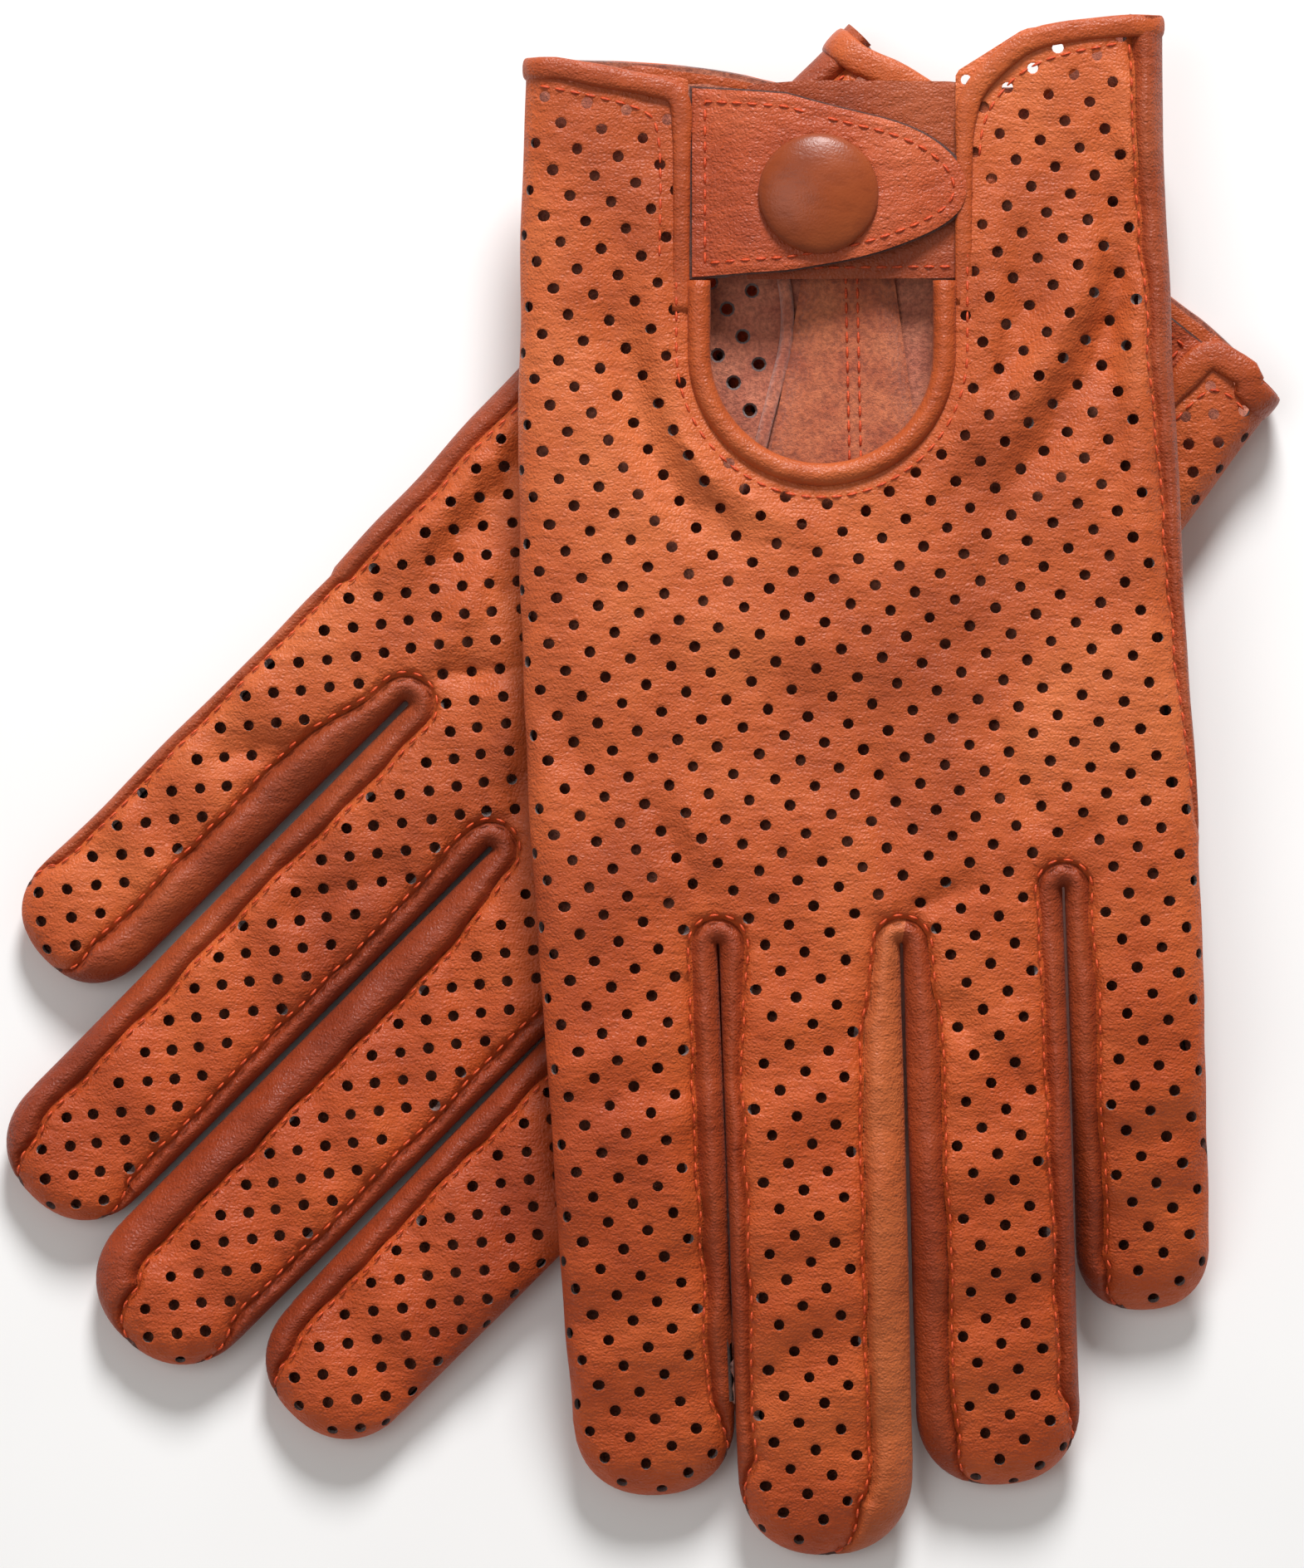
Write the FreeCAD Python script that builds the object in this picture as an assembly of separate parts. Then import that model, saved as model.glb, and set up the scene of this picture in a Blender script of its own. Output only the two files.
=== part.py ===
import FreeCAD, Part
import math
import os

V = FreeCAD.Vector
UP = V(0, 0, 1)

# A pair of driving gloves lying back of hand up, the left glove across the right one.
# Everything is in millimetres. Each glove is built in a hand frame of its own: +Y from the
# fingers to the cuff, +X from the index side to the little side, Z = 0 at the palm's underside.
# The right glove is built the same way, then mirrored.

LEATHER = 0.9                 # thickness of every leather panel
HAND_DEPTH = 7.2              # palm's underside to the top of the back
BACK_FLOOR = HAND_DEPTH - LEATHER
GAP = 0.4                     # half of the gap where a fingertip folds
SEAM_LAP = 1.5                # how far a finger strip runs on into the hand panels
ARCH = 1.6                    # depth of a fourchette's arch at the crotch
FLOOR_GAP = 0.5               # fingertips end this far above the floor

THUMB_DEPTH = 3.6             # the thumb, folded flat under the palm
THUMB_GAP = 0.3
THUMB_BASE_R = 13.0
THUMB_TIP_R = 10.5
THUMB_REACH = 48.0            # pivot to the centre of the thumb's rounded end
THUMB_HOLE_R = 8.5

SLOT_HALF = 19.85             # keyhole: half width, and the radius of its round end
SLOT_END_Y = 84.0
PIPING_R = 1.6
PIPING_TOP_Y = 93.6

STRAP_T = 0.95
STRAP_LOW_Y = 95.1
STRAP_HIGH_Y = 123.2
STRAP_RISE = 1.65             # strap's underside over the back, at the snap
SNAP_Y = 107.4
CAP_R = 8.95
CAP_H = 3.1
SOCKET_R = 6.0
SOCKET_BORE_R = 2.3
POST_R = 1.9
FLANGE_R = 4.4
TAB_LOW_Y = 94.8
TAB_HIGH_Y = 124.2
TAB_LEFT = 10.5               # the tab's free end, left of the snap
TAB_RIGHT = 6.0               # the tab's sewn end, past the keyhole's edge

HEM_W = 3.4                   # rolled hem at the cuff: width, and how far it stands proud
HEM_PROUD = 0.6
PALM_BEND_Y = 76.0            # the palm panel may slope down from here to the cuff
BEYOND = 30.0                 # over-length of the cutting tools

PAIR_SHIFT = V(0.93, -0.25, 0)    # centres the pair over the origin

GLOVES = {
    "left": {
        "mirrored": False,
        "turn": 0.0,
        "place": V(29.0, -19.5, 17.1),
        "palm_drop": 0.0,
        "slot_x": -4.05,
        "snap_x": -4.6,
        "thumb_pivot": (-34.0, 62.0),
        "thumb_toward": (-12.0, 8.0),
        "index_side": [(-46.5, 0.0), (-49.0, 62.0), (-47.8, 128.3)],
        "little_side": [(52.2, 8.6), (49.1, 62.0), (46.3, 134.6)],
        "seam_inset": (1.2, 4.3),
        "flaps": [(-24.5, 124.2), (16.5, 126.0), (26.0, 132.0)],
        "palm_cuff_mid": (-4.0, 125.0),
        "fingers": {
            "index": ((-33.1, 0.0), (-28.4, -86.8), 26.4, 23.6, 41.0, 4.0),
            "middle": ((-6.0, 0.0), (-3.0, -95.7), 26.6, 25.6, 46.0, 4.0),
            "ring": ((19.9, 3.0), (23.2, -85.2), 23.4, 23.2, 42.0, 4.5),
            "little": ((42.1, 8.6), (44.7, -59.0), 19.8, 19.2, 31.0, 6.0),
        },
    },
    "right": {
        "mirrored": True,
        "turn": -41.7,
        "place": V(-15.2, -12.3, 3.9),
        "palm_drop": 3.25,
        "slot_x": -1.0,
        "snap_x": -1.6,
        "thumb_pivot": (-31.0, 62.0),
        "thumb_toward": (-9.0, 8.0),
        "index_side": [(-42.4, 0.0), (-39.6, 62.0), (-34.0, 127.0)],
        "little_side": [(55.0, 8.6), (53.6, 62.0), (51.0, 122.6)],
        "seam_inset": (1.2, 3.4),
        "flaps": [(-21.5, 125.0), (19.5, 124.0), (30.0, 124.6)],
        "palm_cuff_mid": (5.0, 122.0),
        "fingers": {
            "index": ((-29.3, 0.0), (-25.3, -87.0), 25.0, 23.2, 45.5, 2.3),
            "middle": ((-4.2, 0.0), (1.2, -95.2), 25.0, 24.8, 46.0, 2.1),
            "ring": ((20.6, 3.0), (25.6, -88.5), 23.4, 22.6, 43.0, 2.2),
            "little": ((43.4, 8.6), (47.6, -60.8), 20.8, 20.4, 33.0, 2.9),
        },
    },
}

FINGER_NAMES = ["index", "middle", "ring", "little"]


# ---------------------------------------------------------------- shapes

def prism(points, low, high):
    """A polygon in plan, from one height to another."""
    corners = [V(x, y, low) for x, y in points]
    face = Part.Face(Part.makePolygon(corners + corners[:1]))
    return face.extrude(V(0, 0, high - low))


def side_profile(points, low_x, high_x):
    """A polygon drawn in Y and Z, carried across the hand."""
    corners = [V(low_x, y, z) for y, z in points]
    face = Part.Face(Part.makePolygon(corners + corners[:1]))
    return face.extrude(V(high_x - low_x, 0, 0))


def arc(a, b, c):
    return Part.Arc(a, b, c).toShape()


def line(a, b):
    return Part.LineSegment(a, b).toShape()


def slab_of(edges, height):
    return Part.Face(Part.Wire(edges)).extrude(V(0, 0, height))


def clear_of(shape, others):
    """The shape without what its neighbours already fill."""
    for other in others:
        shape = shape.cut(other)
    return shape


def joined(shapes):
    """One solid from overlapping shapes, with its leftover seams removed."""
    whole = shapes[0]
    for shape in shapes[1:]:
        whole = whole.fuse(shape)
    return whole.removeSplitter()


# ---------------------------------------------------------------- hand panels

def hand_outline(glove, cuff):
    """The hand in plan: both sides, the given cuff points, and steps for the finger roots."""
    fingers = glove["fingers"]
    ring_x = (fingers["ring"][0][0] - fingers["ring"][2] / 2 - 0.3)
    little_x = (fingers["little"][0][0] - fingers["little"][2] / 2 - 0.3)
    ring_y = fingers["ring"][0][1]
    little_y = fingers["little"][0][1]
    roots = [(little_x, little_y), (little_x, ring_y), (ring_x, ring_y), (ring_x, 0.0)]
    return glove["index_side"] + cuff + glove["little_side"][::-1] + roots


def drop_at(glove, y):
    """How far the palm lies below its flat part at a given Y."""
    cuff_y = glove["index_side"][-1][1]
    return glove["palm_drop"] * max(0.0, y - PALM_BEND_Y) / (cuff_y - PALM_BEND_Y)


def palm_slab(glove, low, high):
    """A sheet that follows the palm's slope; low and high are heights over its underside."""
    far = PALM_BEND_Y + 70.0
    drop = drop_at(glove, far)
    profile = [(-BEYOND, low), (PALM_BEND_Y, low), (far, low - drop),
               (far, high - drop), (PALM_BEND_Y, high), (-BEYOND, high)]
    return side_profile(profile, -90.0, 90.0)


def wall_space(glove):
    """The room between the palm panel's top and the back panel's underside."""
    far = PALM_BEND_Y + 70.0
    drop = drop_at(glove, far)
    profile = [(-BEYOND, LEATHER), (PALM_BEND_Y, LEATHER), (far, LEATHER - drop),
               (far, BACK_FLOOR), (-BEYOND, BACK_FLOOR)]
    return side_profile(profile, -90.0, 90.0)


def side_wall(glove, side, inward):
    """A standing wall one leather thick along one side of the hand."""
    points = glove[side]
    inner = [(x + inward * LEATHER, y) for x, y in points]
    return prism(points + inner[::-1], -BEYOND, BEYOND).common(wall_space(glove))


def sliver_plan(glove):
    """The side strip's top face in plan: from the little-side edge in to its seam."""
    points = glove["little_side"]
    narrow, wide = glove["seam_inset"]
    low_y, high_y = points[0][1], points[-1][1]
    seam = []
    for x, y in points:
        seam.append((x - narrow - (wide - narrow) * (y - low_y) / (high_y - low_y), y))
    return points + seam[::-1]


def slot_tool(glove, low, high):
    """The keyhole: a round end, open to the cuff."""
    x = glove["slot_x"]
    disc = Part.makeCylinder(SLOT_HALF, high - low, V(x, SLOT_END_Y, low))
    channel = prism([(x - SLOT_HALF, SLOT_END_Y), (x + SLOT_HALF, SLOT_END_Y),
                     (x + SLOT_HALF, SLOT_END_Y + 70.0), (x - SLOT_HALF, SLOT_END_Y + 70.0)],
                    low, high)
    return disc.fuse(channel)


def back_panel(glove, strips, walls):
    plan = hand_outline(glove, glove["flaps"])
    plate = prism(plan, BACK_FLOOR, HAND_DEPTH)
    plate = plate.cut(slot_tool(glove, -BEYOND, BEYOND))
    plate = plate.cut(prism(sliver_plan(glove), -BEYOND, BEYOND))
    index_wall = side_wall(glove, "index_side", 1)
    return joined([plate, index_wall] + strips + walls)


def side_strip(glove, back):
    top = prism(sliver_plan(glove), BACK_FLOOR, HAND_DEPTH)
    return clear_of(joined([top, side_wall(glove, "little_side", -1)]), [back])


def palm_panel(glove, strips):
    plan = hand_outline(glove, [glove["palm_cuff_mid"]])
    plate = prism(plan, -BEYOND, BEYOND).common(palm_slab(glove, 0.0, LEATHER))
    whole = joined([plate] + strips)
    x, y = glove["thumb_pivot"]
    return whole.cut(Part.makeCylinder(THUMB_HOLE_R, 2 * BEYOND, V(x, y, -BEYOND)))


def hem_band(points, inset):
    """A band in plan along a run of cuff points, reaching into the panel."""
    inner = [(x, y - inset) for x, y in points]
    outer = [(x, y + HEM_PROUD) for x, y in points]
    return outer + inner[::-1]


def cuff_binding(glove, neighbours):
    """Rolled hems wrapped round the edges of both flaps and of the palm."""
    index_corner = glove["index_side"][-1]
    little_corner = glove["little_side"][-1]
    inner_left, inner_right, middle = glove["flaps"]
    wall_end = LEATHER + 0.2
    runs = [
        [(index_corner[0] + wall_end, index_corner[1]), (inner_left[0] - 0.6, inner_left[1])],
        [(inner_right[0] + 0.6, inner_right[1]), middle,
         (little_corner[0] - glove["seam_inset"][1] - 0.2, little_corner[1])],
    ]
    low, high = BACK_FLOOR - HEM_PROUD, HAND_DEPTH + HEM_PROUD
    hems = [clear_of(prism(hem_band(run, HEM_W), low, high), neighbours) for run in runs]
    run = [(index_corner[0] + wall_end, index_corner[1]), glove["palm_cuff_mid"],
           (little_corner[0] - wall_end, little_corner[1])]
    band = prism(hem_band(run, HEM_W), -BEYOND, BEYOND)
    sheet = palm_slab(glove, -HEM_PROUD, LEATHER + HEM_PROUD)
    hems.append(clear_of(band.common(sheet), neighbours))
    return Part.makeCompound(hems)


def keyhole_binding(glove):
    """Round piping inside the keyhole, up to the strap."""
    x, z = glove["slot_x"], HAND_DEPTH - LEATHER / 2
    reach = SLOT_HALF - PIPING_R - 0.05
    ring = Part.makeTorus(reach, PIPING_R, V(x, SLOT_END_Y, z), UP)
    half = ring.common(Part.makeBox(80, 40, 10, V(x - 40, SLOT_END_Y - 40, z - 5)))
    length = PIPING_TOP_Y - SLOT_END_Y
    legs = [Part.makeCylinder(PIPING_R, length, V(x + side * reach, SLOT_END_Y, z), V(0, 1, 0))
            for side in (-1, 1)]
    return joined([half] + legs)


# ---------------------------------------------------------------- fastening

def tab(glove):
    x = glove["snap_x"]
    edge = glove["slot_x"] + SLOT_HALF
    top = BACK_FLOOR - 0.05
    plan = [(x - TAB_LEFT, TAB_LOW_Y), (edge + TAB_RIGHT, TAB_LOW_Y),
            (edge + TAB_RIGHT, TAB_HIGH_Y - 3.0), (edge, TAB_HIGH_Y), (x - TAB_LEFT, TAB_HIGH_Y)]
    return prism(plan, top - LEATHER, top)


def snap_stud(glove):
    x = glove["snap_x"]
    base = BACK_FLOOR - 0.05
    flange = Part.makeCylinder(FLANGE_R, 0.5, V(x, SNAP_Y, base))
    post = Part.makeCylinder(POST_R, HAND_DEPTH + STRAP_RISE - 0.35 - base, V(x, SNAP_Y, base))
    return joined([flange, post])


def snap_socket(glove):
    x = glove["snap_x"]
    ring = Part.makeCylinder(SOCKET_R, STRAP_RISE, V(x, SNAP_Y, HAND_DEPTH))
    bore = Part.makeCylinder(SOCKET_BORE_R, STRAP_RISE, V(x, SNAP_Y, HAND_DEPTH))
    return ring.cut(bore)


def snap_cap(glove):
    """A low dome, leather covered."""
    base = HAND_DEPTH + STRAP_RISE + STRAP_T
    radius = (CAP_R ** 2 + CAP_H ** 2) / (2 * CAP_H)
    ball = Part.makeSphere(radius, V(glove["snap_x"], SNAP_Y, base + CAP_H - radius))
    drum = Part.makeCylinder(CAP_R + 1.0, CAP_H + 1.0, V(glove["snap_x"], SNAP_Y, base))
    return ball.common(drum)


def strap(glove):
    """Sewn in at the keyhole's index side; it climbs over the socket to a rounded end."""
    root = glove["slot_x"] - SLOT_HALF + 0.6
    tip = glove["snap_x"] + 22.6
    rise, rest = HAND_DEPTH + STRAP_RISE, HAND_DEPTH + 0.4
    under = [(root, BACK_FLOOR), (root + 2.0, BACK_FLOOR), (root + 8.5, rise),
             (tip - 10.0, rise), (tip - 5.0, rest), (tip + 1.0, rest)]
    over = [(x, z + STRAP_T) for x, z in under]
    corners = [V(x, 0, z) for x, z in under + over[::-1]]
    band = Part.Face(Part.makePolygon(corners + corners[:1])).extrude(V(0, 200, 0))
    start = V(root, STRAP_HIGH_Y, 0)
    shoulder = V(tip - 20.8, STRAP_HIGH_Y - 2.8, 0)
    nose_high = V(tip - 1.6, 112.4, 0)
    nose_low = V(tip - 2.6, 103.4, 0)
    belly = V(tip - 27.0, STRAP_LOW_Y + 1.2, 0)
    end = V(root, STRAP_LOW_Y, 0)
    edges = [line(start, shoulder),
             arc(shoulder, V(tip - 8.8, 117.1, 0), nose_high),
             arc(nose_high, V(tip, 108.0, 0), nose_low),
             arc(nose_low, V(tip - 14.4, 98.3, 0), belly),
             line(belly, end),
             line(end, start)]
    return band.common(slab_of(edges, BEYOND))


def strap_hinge(glove):
    """The middle of the strap's sewn edge; it opens about the hand frame's Y."""
    root = glove["slot_x"] - SLOT_HALF + 0.6
    middle = (STRAP_LOW_Y + STRAP_HIGH_Y) / 2
    return V(root + STRAP_T / 2, middle, BACK_FLOOR + STRAP_T / 2)


# ---------------------------------------------------------------- thumb

def thumb_plan(shrink):
    """A tapered envelope about the pivot, pointing down -Y."""
    base = THUMB_BASE_R - shrink
    tip = THUMB_TIP_R - shrink
    edges = [line(V(-base, 0, 0), V(-tip, -THUMB_REACH, 0)),
             arc(V(-tip, -THUMB_REACH, 0), V(0, -THUMB_REACH - tip, 0), V(tip, -THUMB_REACH, 0)),
             line(V(tip, -THUMB_REACH, 0), V(base, 0, 0)),
             arc(V(base, 0, 0), V(0, base, 0), V(-base, 0, 0))]
    return edges


def thumb_pieces(glove):
    """The folded thumb's two panels, one tray on the other."""
    half = THUMB_DEPTH / 2
    outer = slab_of(thumb_plan(0.0), half)
    inner = slab_of(thumb_plan(LEATHER), half - LEATHER)
    palm_side = outer.cut(inner.translated(V(0, 0, LEATHER)))
    back_side = outer.cut(inner).cut(Part.makeCylinder(THUMB_HOLE_R, half))
    back_side.translate(V(0, 0, half))
    x, y = glove["thumb_pivot"]
    to_x, to_y = glove["thumb_toward"]
    heading = math.degrees(math.atan2(to_x - x, y - to_y))
    pieces = {"thumb_back": back_side, "thumb_palm": palm_side}
    for shape in pieces.values():
        shape.rotate(V(0, 0, 0), UP, heading)
        shape.translate(V(x, y, -THUMB_GAP - THUMB_DEPTH))
    return pieces


# ---------------------------------------------------------------- fingers

def finger_frames(glove, name):
    """Where a finger's root half and tip half lie: the origin of each is on its top face,
    -Y runs towards the fingertip. The tip half leans so that its end reaches the floor."""
    base, tip, _, _, root_length, root_pitch = glove["fingers"][name]
    reach = math.hypot(tip[0] - base[0], tip[1] - base[1])
    heading = math.degrees(math.atan2(tip[0] - base[0], base[1] - tip[1]))
    lean = math.radians(root_pitch)
    ahead = reach - root_length * math.cos(lean)
    down = HAND_DEPTH + glove["place"].z - FLOOR_GAP - root_length * math.sin(lean)
    pitch = lean
    for _ in range(12):
        pitch = math.atan((down - HAND_DEPTH * math.cos(pitch)) / ahead)
    turn = FreeCAD.Rotation(UP, heading)
    root = FreeCAD.Placement(V(base[0], base[1], HAND_DEPTH),
                             turn.multiply(FreeCAD.Rotation(V(1, 0, 0), root_pitch)))
    fold = root.multVec(V(0, -root_length, 0))
    tip_turn = turn.multiply(FreeCAD.Rotation(V(1, 0, 0), math.degrees(pitch)))
    return {"root": root, "tip": FreeCAD.Placement(fold, tip_turn), "fold": fold,
            "forward": turn.multVec(V(0, -1, 0)), "reach": reach, "root_length": root_length,
            "tip_length": ahead / math.cos(pitch), "bend": math.degrees(pitch) - root_pitch}


def half_width(glove, name, frames, distance):
    _, _, base_w, tip_w, _, _ = glove["fingers"][name]
    return (base_w + (tip_w - base_w) * distance / frames["reach"]) / 2


def sheet(start_half, end_half, start, end, low, high):
    """A straight tapered strip of finger, from one distance to another."""
    plan = [(-start_half, -start), (start_half, -start), (end_half, -end), (-end_half, -end)]
    return prism(plan, low, high)


def wall(side, start_half, end_half, start, end):
    """One upright side of a finger; side is -1 towards the index, 1 towards the little finger."""
    plan = [(side * start_half, -start), (side * (start_half - LEATHER), -start),
            (side * (end_half - LEATHER), -end), (side * end_half, -end)]
    return prism(plan, LEATHER - HAND_DEPTH, -LEATHER)


def root_pieces(glove, name):
    """The half of a finger that stays with the hand, cut on the fold's bisector."""
    frames = finger_frames(glove, name)
    length = frames["root_length"]
    start_half = half_width(glove, name, frames, 0.0)
    end_half = half_width(glove, name, frames, length)
    tool = Part.makeBox(60, 40, 60, V(-30, -40, -30))
    tool.Placement = FreeCAD.Placement(V(0, GAP - length, 0),
                                       FreeCAD.Rotation(V(1, 0, 0), frames["bend"] / 2))
    far = length + 5.0
    pieces = {
        "back": sheet(start_half, end_half, -SEAM_LAP, far, -LEATHER, 0.0),
        "palm": sheet(start_half, end_half, -SEAM_LAP, far, -HAND_DEPTH, LEATHER - HAND_DEPTH),
        "index_wall": wall(-1, start_half, end_half, -SEAM_LAP / 2, far),
        "little_wall": wall(1, start_half, end_half, -SEAM_LAP / 2, far),
    }
    for key, shape in pieces.items():
        shape = shape.cut(tool)
        shape.Placement = frames["root"].multiply(shape.Placement)
        pieces[key] = shape
    return pieces


def tip_plan(start_half, end_half, length, shrink):
    """A fingertip half in plan, with its round end."""
    shoulder = -(length - end_half)
    a, b = start_half - shrink, end_half - shrink
    return [line(V(-a, 4, 0), V(-b, shoulder, 0)),
            arc(V(-b, shoulder, 0), V(0, -length + shrink, 0), V(b, shoulder, 0)),
            line(V(b, shoulder, 0), V(a, 4, 0)),
            line(V(a, 4, 0), V(-a, 4, 0))]


def tip_pieces(glove, name):
    """The half of a finger that folds: back, palm with the end wall, and fourchettes."""
    frames = finger_frames(glove, name)
    length = frames["tip_length"]
    start_half = half_width(glove, name, frames, frames["root_length"])
    end_half = half_width(glove, name, frames, frames["reach"])
    shoulder = length - end_half
    outer = slab_of(tip_plan(start_half, end_half, length, 0.0), HAND_DEPTH)
    inner = slab_of(tip_plan(start_half, end_half, length, LEATHER), HAND_DEPTH)
    outer.translate(V(0, 0, -HAND_DEPTH))
    inner.translate(V(0, 0, -HAND_DEPTH))
    level = {
        "back": Part.makeBox(60, 120, LEATHER, V(-30, -110, -LEATHER)),
        "palm": Part.makeBox(60, 120, LEATHER, V(-30, -110, -HAND_DEPTH)),
        "walls": Part.makeBox(60, 120, HAND_DEPTH - 2 * LEATHER,
                              V(-30, -110, LEATHER - HAND_DEPTH)),
    }
    end_zone = Part.makeBox(60, 120, 20, V(-30, -shoulder - 120, -15))
    back = outer.common(level["back"])
    palm = outer.common(level["palm"])
    ring = outer.cut(inner).common(level["walls"])
    palm = joined([palm, ring.common(end_zone)])
    sides = {side: wall(side, start_half, end_half, -4.0, shoulder) for side in (-1, 1)}
    outside = {"index": -1, "little": 1}.get(name)
    if outside is not None:
        back = joined([back, sides.pop(outside)])
    tool = Part.makeBox(60, 40, 60, V(-30, 0, -30))
    tool.Placement = FreeCAD.Placement(V(0, -GAP, 0),
                                       FreeCAD.Rotation(V(1, 0, 0), -frames["bend"] / 2))
    pieces = {"tip_back": back.cut(tool), "tip_palm": palm.cut(tool),
              "tip_fourchettes": Part.makeCompound([side.cut(tool) for side in sides.values()])}
    for shape in pieces.values():
        shape.Placement = frames["tip"].multiply(shape.Placement)
    return pieces


def fourchette(glove, before, after, roots, panels):
    """The pair of finger walls between two neighbours, joined by an arch at the crotch."""
    base_a, base_b = glove["fingers"][before][0], glove["fingers"][after][0]
    left = base_a[0] + glove["fingers"][before][2] / 2 - LEATHER
    right = base_b[0] - glove["fingers"][after][2] / 2 + LEATHER
    low = max(base_a[1], base_b[1])
    arch = prism([(left, low - 0.6), (right, low - 0.6), (right, low + ARCH), (left, low + ARCH)],
                 LEATHER, BACK_FLOOR)
    reach = prism([(left, base_a[1] - 0.6), (left + LEATHER, base_a[1] - 0.6),
                   (left + LEATHER, low + ARCH), (left, low + ARCH)], LEATHER, BACK_FLOOR)
    whole = joined([roots[before]["little_wall"], arch, reach, roots[after]["index_wall"]])
    return clear_of(whole, panels)


# ---------------------------------------------------------------- assembly

def build_glove(glove):
    """Every piece of one glove in its hand frame, by plain name."""
    roots = {name: root_pieces(glove, name) for name in FINGER_NAMES}
    backs = [roots[name]["back"] for name in FINGER_NAMES]
    palms = [roots[name]["palm"] for name in FINGER_NAMES]
    outer_walls = [roots["index"]["index_wall"], roots["little"]["little_wall"]]
    back = back_panel(glove, backs, outer_walls)
    palm = clear_of(palm_panel(glove, palms), [back])
    lap = tab(glove)
    strip = side_strip(glove, back)
    pieces = {"back_panel": back, "palm_panel": palm, "side_strip": clear_of(strip, [palm]),
              "keyhole_binding": keyhole_binding(glove), "tab": lap}
    pieces["cuff_binding"] = cuff_binding(glove, [back, palm, lap, strip])
    for before, after in zip(FINGER_NAMES, FINGER_NAMES[1:]):
        shape = fourchette(glove, before, after, roots, [back, palm])
        pieces["fourchette_" + before + "_" + after] = shape
    pieces["snap_stud"] = snap_stud(glove)
    pieces["snap_socket"] = snap_socket(glove)
    pieces["strap"] = strap(glove)
    pieces["snap_cap"] = snap_cap(glove)
    pieces.update(thumb_pieces(glove))
    for name in FINGER_NAMES:
        for key, shape in tip_pieces(glove, name).items():
            pieces[name + "_" + key] = shape
    return pieces


def to_pair(glove, shape):
    """Moves a shape from its hand frame to its place in the pair."""
    if glove["mirrored"]:
        shape = shape.mirror(V(0, 0, 0), V(1, 0, 0))
    else:
        shape = shape.copy()
    shape.rotate(V(0, 0, 0), UP, glove["turn"])
    shape.translate(glove["place"] + PAIR_SHIFT)
    return shape


def build_pair():
    nodes = {}
    for side, glove in GLOVES.items():
        for name, shape in build_glove(glove).items():
            nodes[side + "_" + name] = to_pair(glove, shape)
    return nodes


def main():
    os.makedirs("parts", exist_ok=True)
    for name, shape in build_pair().items():
        shape.exportStep("parts/" + name + ".step")


if __name__ == "__main__":
    main()
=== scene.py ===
"""The looks of a pair of unlined leather driving gloves, lying one across the other.

Each glove is modelled flat in its own hand frame, in millimetres: +Y runs from the fingers to
the cuff, +X from the index to the little finger, and Z = 0 is the underside of the palm.
The right glove is then mirrored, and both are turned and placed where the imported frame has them.
"""
import math

import bpy
import numpy as np
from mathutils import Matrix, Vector, geometry, kdtree, noise

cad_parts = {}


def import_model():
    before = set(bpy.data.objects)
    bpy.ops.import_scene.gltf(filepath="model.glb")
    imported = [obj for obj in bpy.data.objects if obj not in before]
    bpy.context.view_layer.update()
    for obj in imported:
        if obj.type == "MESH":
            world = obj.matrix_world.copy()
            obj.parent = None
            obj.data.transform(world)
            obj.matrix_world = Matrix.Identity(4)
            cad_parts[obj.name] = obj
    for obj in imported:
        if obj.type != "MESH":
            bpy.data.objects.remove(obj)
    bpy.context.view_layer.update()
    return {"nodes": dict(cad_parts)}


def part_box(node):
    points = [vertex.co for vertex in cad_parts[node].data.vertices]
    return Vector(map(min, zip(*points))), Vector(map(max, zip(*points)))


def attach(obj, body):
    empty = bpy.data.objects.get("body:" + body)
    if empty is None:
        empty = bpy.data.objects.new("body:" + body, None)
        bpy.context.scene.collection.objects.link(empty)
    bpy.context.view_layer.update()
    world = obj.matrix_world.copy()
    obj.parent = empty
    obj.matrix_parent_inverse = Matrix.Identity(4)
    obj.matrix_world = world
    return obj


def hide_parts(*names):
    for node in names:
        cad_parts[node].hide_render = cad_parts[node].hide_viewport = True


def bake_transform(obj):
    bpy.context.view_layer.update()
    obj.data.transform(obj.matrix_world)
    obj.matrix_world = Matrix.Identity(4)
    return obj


MM = 0.001

# ---------------------------------------------------------------- driving dimensions, in mm

LEATHER = 0.9
HAND_DEPTH = 7.2
EDGE_RUN = 5.0                   # the rounded edge reaches this far in over the hand
EDGE_ARC = math.pi / 2 * math.sqrt((EDGE_RUN ** 2 + (HAND_DEPTH / 2) ** 2) / 2)
BEYOND_CUFF = 24.0               # the outline's sides run on past the cuff by this much
FLOOR_GAP = 0.5
PALM_BEND_Y = 76.0

HOLE_R = 0.84
HOLE_LIP_R = 1.22
HOLE_SIDES = 10
HOLE_DIP = 0.14                  # how far a hole's edge is pressed in
HOLE_EDGE = 1.4                  # least distance from a hole's centre to the panel's edge
SEAM_RINGS = (0.35, 0.9)         # extra mesh points this far in from every panel's edge
WALL_COLUMNS = 16                # mesh points across a fourchette
FILL_STEP = 2.1                  # mesh spacing of the back between its holes
PALM_STEP = 2.6                  # and of the palm
PALM_SHIFT = (1.9, 1.3)          # the palm's holes don't line up with the back's

ARCH_DEPTH = 4.0                 # from an arch's seam down to the slit between two fingers
ARCH_INSET = 3.6
PALM_INSET = 3.2                 # the palm's seam, in from the silhouette
SPLIT_AT = 9.0                   # finger pieces start this far past the finger's root
BLEND_REACH = 8.0                # half of the length over which a finger folds

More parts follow.
